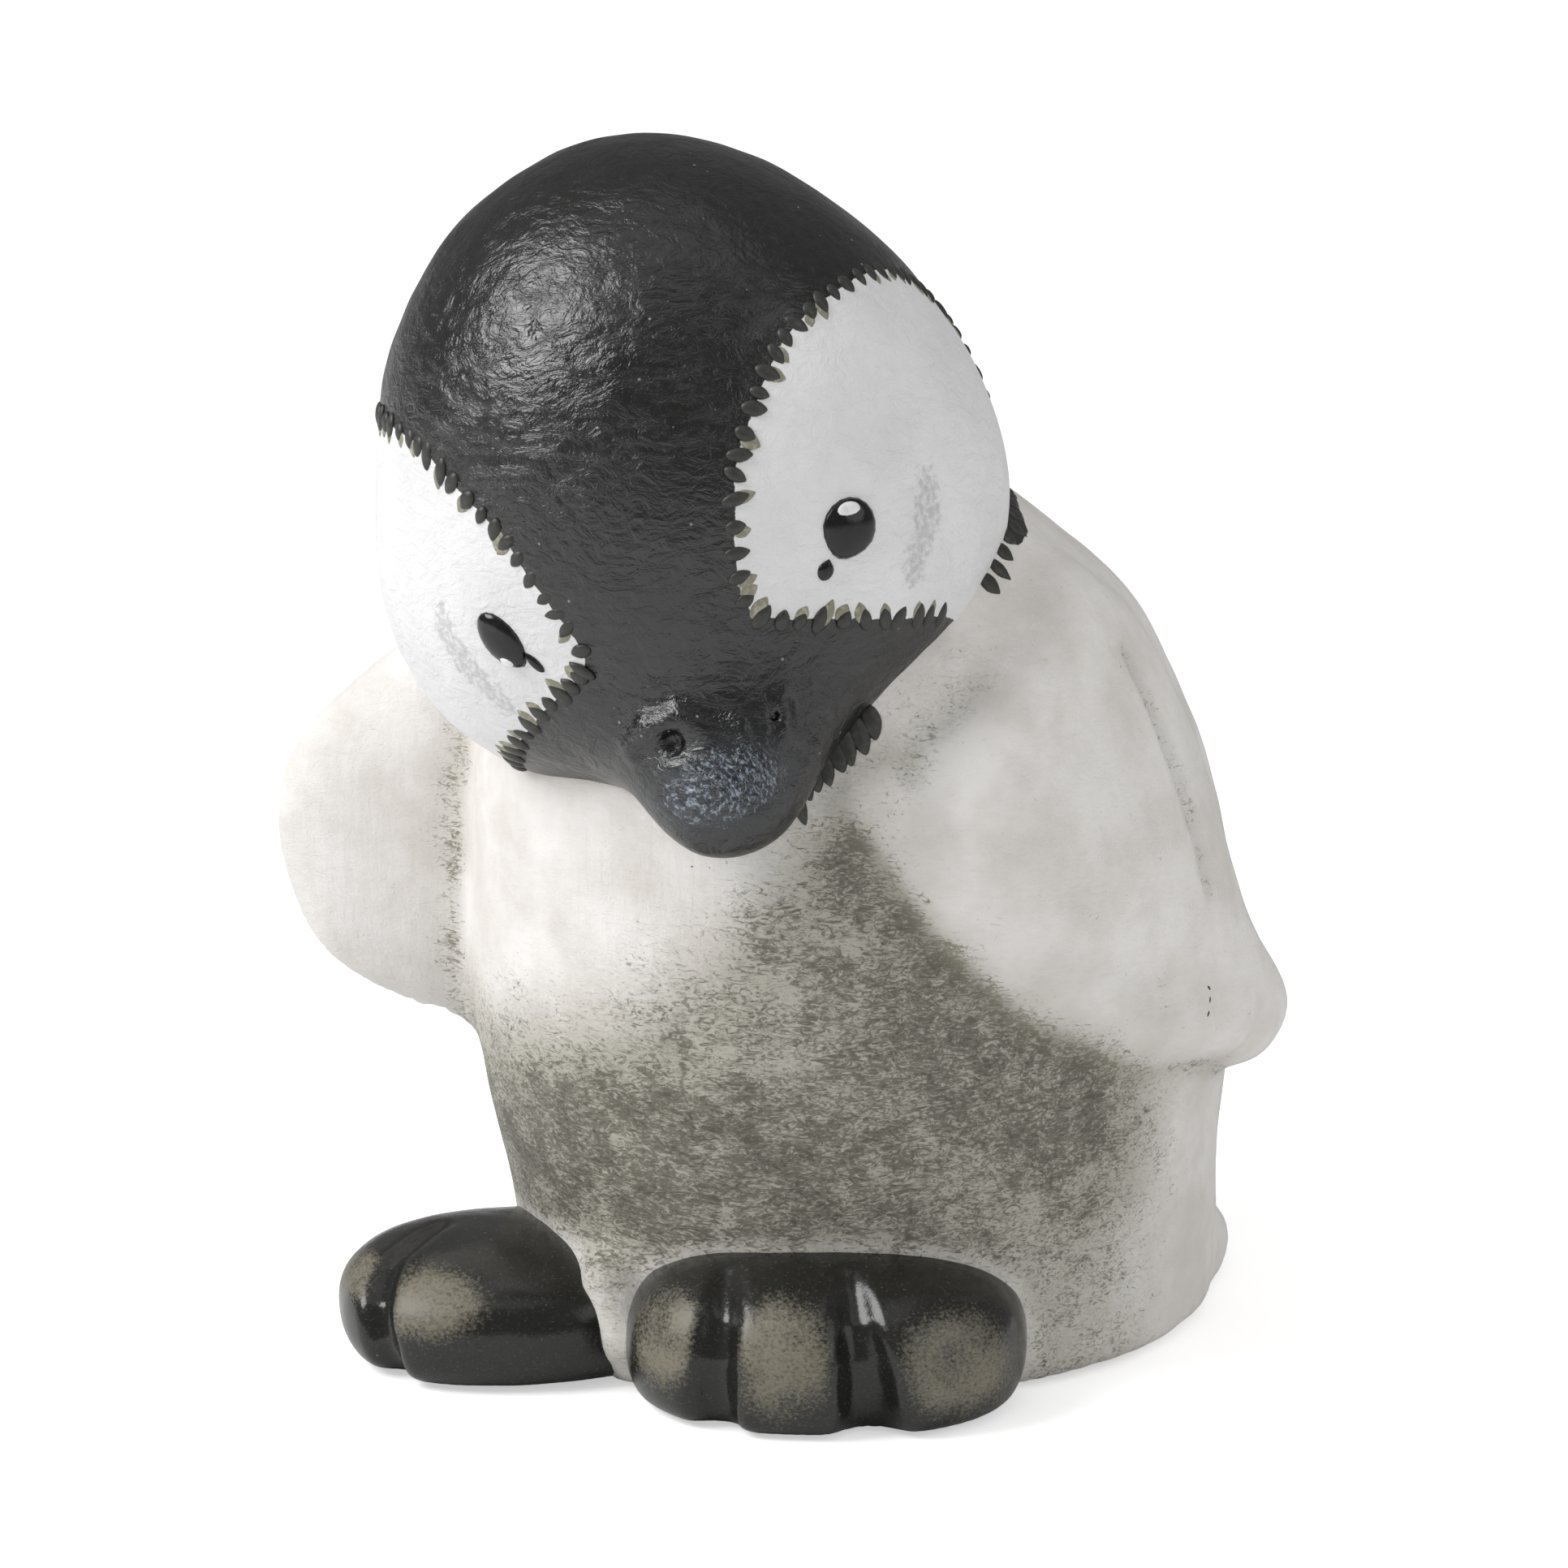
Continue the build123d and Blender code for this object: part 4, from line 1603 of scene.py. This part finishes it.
    def border(self, side: int, hidden: Field) -> tuple[list[Dab], list[Dab]]:
        """The strokes that run the cap's edge into one cheek.

        Args:
            side: 1 for the chick's left cheek and -1 for its right one.
            hidden: Distance from the body, which covers the lowest strokes.

        Returns:
            The black strokes, and the thinner olive ones beneath them.
        """
        chance = np.random.default_rng(41 + side)
        ways = [self.pose.way(side * across, rise) for across, rise in self.outline_degrees()]
        line = onto(self.whole, np.array(self.pose.centre) + 39 * np.array(ways), 6)
        lengths = np.linalg.norm(np.roll(line, -1, axis=0) - line, axis=1)
        travel = np.concatenate([[0], np.cumsum(lengths)])
        closed = np.vstack([line, line[:1]])
        middle = line.mean(axis=0)
        black, olive = [], []
        spot = 0.0
        while spot < travel[-1]:
            place = np.array([np.interp(spot, travel, closed[:, axis]) for axis in range(3)])
            ahead = np.array([np.interp(spot + 0.8, travel, closed[:, axis]) for axis in range(3)])
            spot += chance.uniform(*self.stroke_spacing)
            if hidden(place[None])[0] < 1.5:
                continue
            normal = slope_of(self.whole, place[None])[0]
            inward = unit(np.cross(normal, ahead - place))
            inward = inward if inward @ (middle - place) > 0 else -inward
            slant = unit(inward + chance.uniform(-self.stroke_slant, self.stroke_slant) * unit(ahead - place))
            length, width = chance.uniform(*self.stroke_length), chance.uniform(*self.stroke_width)
            root, point = place - slant * length * 0.45, place + slant * length * 0.55
            black.append(Dab(root, point, width, height=0.4, point=0.45))
            if chance.random() < self.olive_share:
                drift = chance.uniform(-self.olive_drift, self.olive_drift)
                under = place + slant * 0.9 + unit(ahead - place) * drift
                olive.append(Dab(under - slant * length * 0.45, under + slant * length * 0.5, width, 0.12))
        return black, olive

    def eyes(self) -> None:
        """Lay the glossy eyes, their tear drops and their white glints."""
        black = Enamel("eye_black", shade(22, 22, 22), shade(34, 34, 33), 0.12).build(self.effects)
        white = Enamel("glint_white", shade(240, 240, 240), shade(225, 225, 226), 0.35).build(self.effects)
        for look in self.eye_looks:
            ends = cast_all(look.bead[:2] + look.tear[:2] + look.glint[:2], self.whole)
            bead = Dab(ends[0], ends[1], look.bead[2], height=1.1, point=0.25)
            tear = Dab(ends[3], ends[2], look.tear[2], height=0.4, point=0.7)
            glint = Dab(ends[4], ends[5], look.glint[2], height=0.25, lift=0.72, point=0.0)
            skin = dab_skin(self.whole, [bead, tear])
            piece_from(f"eye_{look.side}_bead", skin, {}, black, [f"eye_{look.side}"])
            skin = dab_skin(self.whole, [glint])
            piece_from(f"eye_{look.side}_glint", skin, {}, white)

    def build(self, hidden: Field) -> None:
        """Sculpt the head and the beak, then lay the border strokes and the eyes.

        Args:
            hidden: Distance from the body, which covers the lowest strokes.
        """
        self.eyes()
        black, olive = [], []
        for side in (1, -1):
            more_black, more_olive = self.border(side, hidden)
            black += more_black
            olive += more_olive
        stroke_black = Enamel("stroke_black", shade(52, 52, 50), shade(66, 65, 60), 0.42).build(self.effects)
        stroke_olive = Enamel("stroke_olive", shade(136, 133, 112), shade(176, 174, 156), 0.5)
        piece_from("border_strokes", dab_skin(self.whole, black), {}, stroke_black)
        under_paint = stroke_olive.build(self.effects)
        piece_from("border_under_strokes", dab_skin(self.whole, olive), {}, under_paint)
        material = CapAndCheeks().build(self.effects)
        egg_part = self._part(self.egg, self.beak_form.distance)
        low, high = self.egg_centre - 46, self.egg_centre + 46
        skin = skin_of(egg_part, low, high, self.cell)
        piece_from("head_skin", skin, self.marks(skin.points), material, ["head_shell"])
        beak_part = self._part(self.beak_form.distance, self.egg)
        skin = skin_of(beak_part, self.egg_centre - 66, self.egg_centre + 66, self.cell)
        piece_from("beak_skin", skin, self.marks(skin.points), material, ["beak"])

    def detailed(self, near: np.ndarray, points: np.ndarray) -> np.ndarray:
        """Add the nostril swellings, the hollows and the hand's unevenness.

        Args:
            near: The smooth head's distance at each point.
            points: Places to look at, one row each.

        Returns:
            The detailed head's distance at each point.
        """
        for swelling in self.swellings:
            near = smooth_union(near, swelling.distance(points) + 0.9, 1.6)
        return carved(near, points, self.hollows, 0.8) + lumps(points, 11)

    def _part(self, own: Field, other: Field) -> Field:
        """One casting of the head: it keeps the joined surface and dives under its neighbour.

        Args:
            own: Distance from the casting.
            other: Distance from its neighbour.

        Returns:
            The casting's distance field.
        """
        reach = self.beak_blend / 4 + 1.6

        def part(points: np.ndarray) -> np.ndarray:
            """Distance from this casting.

            Args:
                points: Places to look at, one row each.

            Returns:
                One distance for each point.
            """
            mine, theirs = own(points), other(points)
            joined = self.detailed(smooth_union(mine, theirs, self.beak_blend), points)
            return tucked(joined, mine, theirs, reach)

        return part


# Body


def body_way(across: float, away: float, up: float) -> np.ndarray:
    """A point or direction given across the view, away from it and up.

    Args:
        across: How far to the right in the view.
        away: How far from the viewer.
        up: How far up.

    Returns:
        The point or direction in the frame's axes.
    """
    turn = math.radians(VIEW.azimuth)
    return np.array(
        [across * math.cos(turn) - away * math.sin(turn), across * math.sin(turn) + away * math.cos(turn), up]
    )


def flipper_form(
    shoulder: Sequence[float], tip: Sequence[float], chord: Sequence[float], rings: Sequence[Sequence[float]]
) -> RingLoft:
    """A flipper from its shoulder to its tip, with its chord lying the given way.

    Args:
        shoulder: The shoulder's place: across the view, away and up.
        tip: The tip's place.
        chord: The way that the flipper's width lies.
        rings: Way along, two shifts, half width and half thickness of each ellipse.

    Returns:
        The flipper.
    """
    start, end, chord_way = body_way(*shoulder), body_way(*tip), body_way(*chord)
    along = unit(end - start)
    side = unit(chord_way - along * (chord_way @ along))
    return RingLoft(start, np.stack([side, np.cross(along, side), along]), rings, 4.0)


@dataclass
class Body:
    """The torso, both flippers and the tail, joined by soft fillets."""

    effects: Effects
    head: Head
    feet: tuple["Foot", ...]
    sole: float = 0.3
    cell: float = 1.1
    flipper_blend: float = 5.0
    tail_blend: float = 6.0
    torso_rings: Rows = (
        (0, 1.3, 0.5, 41.2, 44.2), (10, 1.2, 0.8, 41.4, 44.3), (22, 0.4, 0.3, 42.7, 45.5),
        (40, 0, -0.5, 45.2, 47.8), (56, 0, -1.6, 44.6, 47.4), (69, 0.4, -4.2, 42.6, 45.1),
        (80, 1, -6.8, 39.1, 41.3), (90, 1.7, -9.5, 34.5, 35.7), (99, 0.3, -13.8, 28.5, 28.5),
        (106, 0, -17.8, 20, 20), (110, -1, -20, 11, 11),
    )
    left_rings: Rows = (
        (0, 5, -5, 17, 8), (12, 7, -4.5, 22, 9), (26, 6.8, -3.5, 20.3, 9.5), (40, 5.8, -2.5, 14.6, 8.5),
        (52, 4.4, -1.5, 9.8, 7), (61, 1.7, -1, 7.4, 5), (67, 0, 0, 4.5, 2.8),
    )
    right_rings: Rows = (
        (0, 0.5, 0, 6.5, 6), (8, 2, 0, 11, 6.5), (20, 4.5, 0, 16.8, 7), (32, 4.8, 0, 18, 6),
        (42, 2.5, 0, 15.5, 5), (48, 0, 0, 11.5, 3.5), (51, -1.5, 0, 7, 2.5),
    )
    left_way: tuple[Place, Place, Place] = ((13.5, -27.5, 88), (50, -8.5, 33.5), (-16, -26, -14))
    right_way: tuple[Place, Place, Place] = ((-40, 5, 85), (-52.8, 2.2, 34), (-1, 0, -0.15))
    tail_centre: Place = (0, 28, 3)
    tail_radii: Place = (33, 24, 8)
    skirt_line: Drawn = (((712, 1500), (748, 1580), (776, 1650), (800, 1700)), (2.0, 3.2, 3.6, 3.6))
    edge_line: Drawn = (
        ((1080, 985), (1178, 1118), (1292, 1214), (1415, 1268), (1510, 1264)),
        (3.2, 4.2, 4.6, 4.6, 4.4),
    )
    edge_sink: float = 2.1
    trail_line: Drawn = (((1385, 800), (1430, 893), (1462, 985), (1490, 1095)), (0.4, 1.0, 1.0, 0.5))
    wash_ways: tuple[float, ...] = (-95, -56, -20, 0, 14, 25, 34, 50, 70, 95)
    wash_tops: tuple[float, ...] = (36, 43, 48, 54, 60, 72, 84, 88, 86, 56)
    wash_fade: Range = (-15.0, 8.0)
    wash_left: Range = (68.0, 106.0)
    wash_right: Range = (-112.0, -70.0)
    wash_wobble: float = 3.0
    wash_base: float = 0.62
    wash_rise: float = 0.22
    wash_heights: Range = (4.0, 24.0)
    # How much the darker ovals thicken the wash. Part of that is painted shade.
    wash_and_shade_strength: float = 0.36
    patch_front: Range = (-20.0, 0.0)
    foot_share: float = 0.6
    foot_gap: Range = (0.2, 2.5)
    crease_reaches: tuple[float, ...] = (5.5, 2.0, 2.5, 0.8, 7.0)
    crease_shares: Range = (0.7, 0.6)
    crease_tops: Range = (64.0, 78.0)
    cut_rounding: float = 1.4
    sole_rounding: float = 1.0
    collar_turn: Range = (96.0, 104.0)
    nape_centre: Place = (-3.0, -18.0, 84.0)
    nape_radius: float = 26.0
    nape_length: Range = (3.0, 4.6)
    nape_width: Range = (1.9, 2.7)
    throat_strokes: tuple[Touch, ...] = (
        ((1068, 868), (1080, 912), 2.4),
        ((1050, 880), (1068, 930), 2.5),
        ((1034, 890), (1050, 944), 2.4),
        ((1020, 904), (1040, 952), 2.5),
        ((1006, 916), (1024, 970), 2.3),
        ((994, 928), (1010, 978), 2.4),
        ((980, 940), (1000, 988), 2.2),
        ((972, 956), (993, 1018), 1.9),
        ((962, 978), (974, 1010), 1.6),
    )
    chip_pixels: tuple[tuple[Pixel, Pixel], ...] = (
        ((1487, 1214), (1492, 1221)),
        ((1491, 1226), (1490, 1238)),
        ((1490, 1244), (1487, 1254)),
        ((850, 1067), (856, 1068)),
        ((872, 1069), (877, 1069)),
    )
    # Darker ovals on the front: partly deeper grey wash, partly painted shade, chiefly under the left
    # flipper's leading edge.
    wash_and_shade_patches: tuple[Oval, ...] = (
        (860, 1430, 380, 130, 8),
        (1120, 1120, 180, 85, 50),
        (1230, 1330, 260, 120, 30),
    )

    def __post_init__(self) -> None:
        """Place the four castings."""
        loft = RingLoft((0, 0, self.sole), np.eye(3), self.torso_rings, 3.0)
        self.torso = Blend(loft, traced(self.skirt_line, self.feet[1].pad.distance), 4.0)
        self.left = flipper_form(*self.left_way, self.left_rings)
        self.right = flipper_form(*self.right_way, self.right_rings)
        edge_pixels, edge_radii = self.edge_line
        edge = cast_all(edge_pixels, self.left_or_torso)
        sunk = [place - self.edge_sink * slope_of(self.left_or_torso, place[None])[0] for place in edge]
        self.left = Blend(self.left, Thread(sunk, edge_radii), 2.6)
        self.tail = Ellipsoid(self.tail_centre, np.eye(3), self.tail_radii)
        self.forms = {
            "body_skin": (self.torso, ("body_shell",), "body_paint"),
            "flipper_left_skin": (self.left, ("flipper_left",), "flipper_paint"),
            "flipper_right_skin": (self.right, ("flipper_right",), "flipper_paint"),
            "tail_skin": (self.tail, ("tail",), "body_paint"),
        }
        self.cuts = [traced(self.trail_line, self.joined)]

    def left_or_torso(self, points: np.ndarray) -> np.ndarray:
        """Distance from the torso and the plain left flipper."""
        return smooth_union(self.torso.distance(points), self.left.distance(points), self.flipper_blend)

    def joined(self, points: np.ndarray) -> np.ndarray:
        """Distance from all four castings together.

        Args:
            points: Places to look at, one row each.

        Returns:
            One distance for each point.
        """
        near = self.torso.distance(points)
        for form in (self.left, self.right):
            near = smooth_union(near, form.distance(points), self.flipper_blend)
        return smooth_union(near, self.tail.distance(points), self.tail_blend)

    def part(self, name: str) -> Field:
        """One casting: it keeps the joined surface and dives under its neighbours.

        Args:
            name: The piece's name.

        Returns:
            The casting's distance field.
        """
        own = self.forms[name][0]
        others = [form for key, (form, *_) in self.forms.items() if key != name]
        if own is not self.torso:
            others = [self.torso]
        blend = self.tail_blend if own is self.tail else self.flipper_blend
        reach = blend / 4 + 1.8

        def distance(points: np.ndarray) -> np.ndarray:
            """Distance from this casting.

            Args:
                points: Places to look at, one row each.

            Returns:
                One distance for each point.
            """
            mine = own.distance(points)
            joined = mine
            theirs = np.full(len(points), 1e3)
            for form in others:
                near = form.distance(points)
                joined = smooth_union(joined, near, self.tail_blend if form is self.tail else blend)
                theirs = np.minimum(theirs, near)
            joined = carved(joined, points, self.cuts, self.cut_rounding) + lumps(points, 23)
            kept = tucked(joined, mine, theirs, reach)
            return smooth_overlap(kept, self.sole - points[:, 2], self.sole_rounding)

        return distance

    def marks(self, points: np.ndarray) -> dict[str, np.ndarray]:
        """The painted masks of the body.

        Args:
            points: The mesh's points.

        Returns:
            The masks by name.
        """
        to_left, to_right = self.left.distance(points), self.right.distance(points)
        on_torso = ease(-1.0, 1.0, np.minimum(to_left, to_right) - 1.2)
        collar = 2.0 - self.head.whole(points) + soft_noise(points, 2.0, 5)
        nape_across, nape_away, _ = self.nape_centre
        round_neck = np.degrees(np.arctan2(points[:, 0] - nape_across, -points[:, 1] + nape_away))
        collar -= 4 * (1 - ease(*self.collar_turn, np.abs(round_neck)))
        return {
            Mark.WASH_AND_SHADE.value: self._wash(points) * on_torso,
            Mark.CREASE.value: self._crease(points, to_left, to_right),
            Mark.COLLAR.value: np.clip(collar, -3, 3),
        }

    def _wash(self, points: np.ndarray) -> np.ndarray:
        """How thickly the grey wash lies on the belly, deepened in places by painted shade under the left
        flipper.

        Args:
            points: The mesh's points.

        Returns:
            One share for each point.
        """
        across, height = np.degrees(np.arctan2(points[:, 0], -points[:, 1])), points[:, 2]
        top = np.interp(across, self.wash_ways, self.wash_tops)
        wobble = soft_noise(points, 9.0, 3) * self.wash_wobble
        wash = 1 - ease(*self.wash_fade, height - top + wobble)
        wash *= (1 - ease(*self.wash_left, across)) * ease(*self.wash_right, across)
        wash *= self.wash_base + self.wash_rise * ease(*self.wash_heights, height)
        # Painted shade: inside the darker ovals on the front the wash is thickened, partly as deeper wash and
        # partly as shade under the left flipper.
        wash_and_shade_share = np.max([seen_patch(points, patch) for patch in self.wash_and_shade_patches], axis=0)
        wash *= 1 + self.wash_and_shade_strength * wash_and_shade_share * ease(*self.patch_front, -points[:, 1])
        for foot in self.feet:
            gap = foot.distance(points) + 0.6 * soft_noise(points, 2.5, 9)
            wash *= self.foot_share + (1 - self.foot_share) * ease(*self.foot_gap, gap)
        return wash

    def _crease(self, points: np.ndarray, to_left: np.ndarray, to_right: np.ndarray) -> np.ndarray:
        """How much wash has run into the creases beside the flippers.

        Args:
            points: The mesh's points.
            to_left: Each point's distance from the left flipper.
            to_right: Each point's distance from the right flipper.

        Returns:
            One share for each point.
        """
        to_torso = self.torso.distance(points)
        torso_reach, right_reach, left_reach, trail_reach, crease_reach = self.crease_reaches
        beside_right = fading(to_torso, torso_reach) * fading(to_right, right_reach)
        beside_left = fading(np.abs(to_left - to_torso), left_reach)
        beside_left = beside_left * (1 - ease(*self.crease_tops, points[:, 2]))
        trailing = fading(self.cuts[0].distance(points), trail_reach)
        left_share, trail_share = self.crease_shares
        crease = np.max([beside_right, left_share * beside_left, trail_share * trailing], axis=0)
        return crease * fading(np.abs(to_torso), crease_reach)

    def collar(self) -> None:
        """Lay the black strokes that hang from the cap over the nape and throat, and the tiny chips."""
        chance = np.random.default_rng(7)
        dabs = []
        for start, end, width in self.throat_strokes:
            first, last = cast_all((start, end), self.joined)
            dabs.append(Dab(first, last, width, height=0.5, point=0.4))
        for angle in np.radians(np.arange(100, 262, 4.6)):
            round_nape = np.array([math.sin(angle), -math.cos(angle), 0.0]) * self.nape_radius
            place = (np.array(self.nape_centre) + round_nape)[None]
            for _ in range(40):
                place = onto(self.joined, onto(self.head.whole, place, 1), 1)
            away = unit(slope_of(self.head.whole, place)[0] * (1, 1, 0.3) - (0, 0, 0.25))
            length = chance.uniform(*self.nape_length)
            start = place[0] - away * 1.2
            dabs.append(Dab(start, start + away * length, chance.uniform(*self.nape_width), 0.4))
        paint = Enamel("collar_black", shade(50, 50, 46), shade(70, 69, 62), 0.45).build(self.effects)
        piece_from("collar_strokes", dab_skin(self.joined, dabs), {}, paint)
        ends = [cast_all(pixels, self.joined) for pixels in self.chip_pixels]
        chips = [Dab(first, last, 0.4, height=0.1, point=0.2) for first, last in ends]
        piece_from("paint_chips", dab_skin(self.joined, chips), {}, paint)

    def build(self) -> None:
        """Sculpt the four castings."""
        self.collar()
        material = DownPaint().build(self.effects)
        boxes = {
            "body_skin": ((-52, -54, -3), (52, 54, 114)),
            "flipper_left_skin": ((8, -52, 24), (62, 36, 104)),
            "flipper_right_skin": ((-70, -56, 24), (-10, 6, 104)),
            "tail_skin": ((-36, -4, -3), (36, 58, 20)),
        }
        for name, (_, nodes, slot) in self.forms.items():
            skin = skin_of(self.part(name), *boxes[name], self.cell)
            piece_from(name, skin, self.marks(skin.points), material, nodes)


# Feet


@dataclass
class Foot:
    """One foot: a chunky pad with narrow grooves between its toes."""

    side: str
    tip: Pixel
    turn: float
    radii: Place
    rise: float
    grooves: tuple[Rows, ...]
    patches: tuple[Oval, ...]
    cell: float = 0.7
    squareness: float = 2.45
    sole: float = 0.3

    def __post_init__(self) -> None:
        """Place the pad, and cut the grooves where the photograph shows them."""
        turn = math.radians(self.turn)
        self.front = body_way(-math.sin(turn), -math.cos(turn), 0)
        left = np.array([-self.front[1], self.front[0], 0.0])
        self.centre = body_way(*self.tip, self.rise) - self.front * self.radii[1]
        axes = np.stack([left, self.front, (0, 0, 1)])
        self.pad = Cushion(self.centre, axes, self.radii, self.squareness)
        self.cuts = [
            Thread(cast_all([row[:2] for row in groove], self.pad.distance), [row[2] for row in groove])
            for groove in self.grooves
        ]

    def distance(self, points: np.ndarray) -> np.ndarray:
        """Distance from the whole foot."""
        near = carved(self.pad.distance(points), points, self.cuts, 2.6) + lumps(points, 31)
        return smooth_overlap(near, self.sole - points[:, 2], 1.5)

    def marks(self, points: np.ndarray) -> dict[str, np.ndarray]:
        """Where the dry brush touched the toes.

        Args:
            points: The mesh's points.

        Returns:
            The mask by name.
        """
        touched = np.max([seen_patch(points, patch) for patch in self.patches], axis=0)
        uneven = 0.85 + 0.3 * soft_noise(points, 2.6, 17)
        touched *= ease(-4.0, 2.0, (points - self.centre) @ self.front) * uneven
        for cut in self.cuts:
            touched *= ease(0.3, 1.8, cut.distance(points))
        return {Mark.TOES.value: touched}

    def build(self, material: bpy.types.Material) -> None:
        """Sculpt the foot."""
        node = f"foot_{self.side}"
        skin = skin_of(self.distance, self.centre - (34, 34, 14), self.centre + (34, 34, 18), self.cell)
        piece_from(f"{node}_skin", skin, self.marks(skin.points), material, [node])


# Base and pins


@dataclass(frozen=True)
class Base:
    """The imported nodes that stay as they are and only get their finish."""

    felt: tuple[str, ...] = ("base_felt",)
    plate: tuple[str, ...] = ("base_plate",)
    pins: tuple[str, ...] = ("neck_pin", "beak_pin", "flipper_pins", "foot_pins")

    def build(self) -> None:
        """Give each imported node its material."""
        finishes = (
            (self.felt, Felt().build()),
            (self.plate, RawCasting().build()),
            (self.pins, PinSteel().build()),
        )
        for nodes, material in finishes:
            for node in nodes:
                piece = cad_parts[node]
                piece.data.materials.clear()
                piece.data.materials.append(material)
                log.info("%s: finished", node)


# Studio


@dataclass(frozen=True)
class Lamp:
    """One soft box that looks at the figurine."""

    name: str
    azimuth: float
    elevation: float
    distance: float
    size: float
    power: float

    def build(self, aim: np.ndarray) -> None:
        """Hang the lamp and turn it to the aim.

        Args:
            aim: The point that it looks at, in millimetres.
        """
        turn, rise = math.radians(self.azimuth), math.radians(self.elevation)
        way = np.array([math.sin(turn) * math.cos(rise), -math.cos(turn) * math.cos(rise), math.sin(rise)])
        data = bpy.data.lights.new(self.name, "AREA")
        data.shape = "DISK"
        data.size = self.size
        data.energy = self.power
        item = bpy.data.objects.new(self.name, data)
        right = unit(np.cross((0, 0, 1), way))
        turned = Matrix(np.stack([right, np.cross(way, right), way], 1).tolist())
        item.matrix_world = Matrix.Translation(aim * MM + way * self.distance) @ turned.to_4x4()
        bpy.context.scene.collection.objects.link(item)


@dataclass
class Studio:
    """A pale floor, a white surround and soft boxes."""

    lamps: tuple[Lamp, ...] = (
        Lamp("key_box", -42, 40, 1.1, 0.7, 9.0),
        Lamp("fill_box", 95, 25, 1.4, 1.2, 3.0),
        Lamp("top_box", 10, 82, 1.2, 1.2, 1.6),
    )
    surround: float = 0.42
    reflected: float = 0.2
    floor_half: float = 12.0

    def build(self) -> None:
        """Set the floor, the world, the lamps and the camera."""
        scene = bpy.context.scene
        scene.view_settings.view_transform = "Standard"
        world = bpy.data.worlds.new("studio_surround")
        scene.world = world
        world.use_nodes = True
        world.node_tree.nodes.clear()
        desk = Desk(world.node_tree)
        path = desk.put("ShaderNodeLightPath")
        seen = desk.math("MAXIMUM", path.outputs["Is Camera Ray"], path.outputs["Is Transmission Ray"])
        strength = desk.math("MULTIPLY_ADD", seen, 1.0 - self.surround, self.surround)
        dimmed = desk.math("MULTIPLY", path.outputs["Is Glossy Ray"], self.surround - self.reflected)
        strength = desk.math("SUBTRACT", strength, dimmed)
        back = desk.put("ShaderNodeBackground", {"Color": (1.0, 1.0, 1.0, 1.0), "Strength": strength})
        desk.put("ShaderNodeOutputWorld", {"Surface": back.outputs[0]})
        mesh = bpy.data.meshes.new("studio_floor")
        half = self.floor_half
        corners = [(-half, -half, 0), (half, -half, 0), (half, half, 0), (-half, half, 0)]
        mesh.from_pydata(corners, [], [(0, 1, 2, 3)])
        mesh.materials.append(self._floor_paper())
        floor = bpy.data.objects.new("studio_floor", mesh)
        scene.collection.objects.link(floor)
        for lamp in self.lamps:
            lamp.build(np.array(VIEW.target))
        VIEW.build()

    def _floor_paper(self) -> bpy.types.Material:
        """White paper that keeps the figurine's shadow and is white to the camera.

        Returns:
            The material.
        """
        material, desk, shader = new_material("floor_paper")
        grain = desk.grain(desk.place(), Grain(0.004, 4.0))
        join(desk, shader, Base_Color=desk.blend(grain, shade(250, 250, 250), shade(246, 246, 246)))
        shader.inputs["Roughness"].default_value = 0.9
        shader.inputs["Specular IOR Level"].default_value = 0.1
        path = desk.put("ShaderNodeLightPath")
        shader.inputs["Emission Color"].default_value = (1.0, 1.0, 1.0, 1.0)
        glow = desk.math("MULTIPLY", path.outputs["Is Camera Ray"], 0.5)
        desk.tree.links.new(glow, shader.inputs["Emission Strength"])
        return material


# All together


def main() -> None:
    """Build every sub-assembly in order."""
    logging.basicConfig(level=logging.INFO, format="%(name)s %(message)s")
    effects = Effects()
    Studio().build()
    head = Head(effects)
    feet = (
        Foot(
            side="left",
            tip=(-4.6, -57.5),
            turn=2,
            radii=(23.6, 22, 12.8),
            rise=6.6,
            grooves=(
                ((893, 1570, 0.4), (886, 1620, 1.5), (877, 1685, 2.1), (884, 1764, 2.4)),
                ((1046, 1570, 0.4), (1056, 1630, 1.9), (1068, 1690, 2.9), (1074, 1768, 3.3)),
            ),
            patches=((822, 1650, 50, 76, 8), (962, 1674, 80, 88, 0), (1176, 1680, 88, 78, 0)),
        ),
        Foot(
            side="right",
            tip=(-61.3, -25.5),
            turn=80,
            radii=(18.3, 21, 9.4),
            rise=5.9,
            grooves=(
                ((540, 1510, 0.3), (482, 1552, 1.0), (464, 1600, 1.5), (470, 1662, 1.6), (498, 1712, 1.4)),
            ),
            patches=((530, 1607, 80, 56, 0), (444, 1570, 38, 44, -40)),
        ),
    )
    body = Body(effects, head, feet)
    head.build(body.joined)
    body.build()
    foot_paint = FootPaint().build(effects)
    for foot in feet:
        foot.build(foot_paint)
    Base().build()


if __name__ == "__main__":
    main()
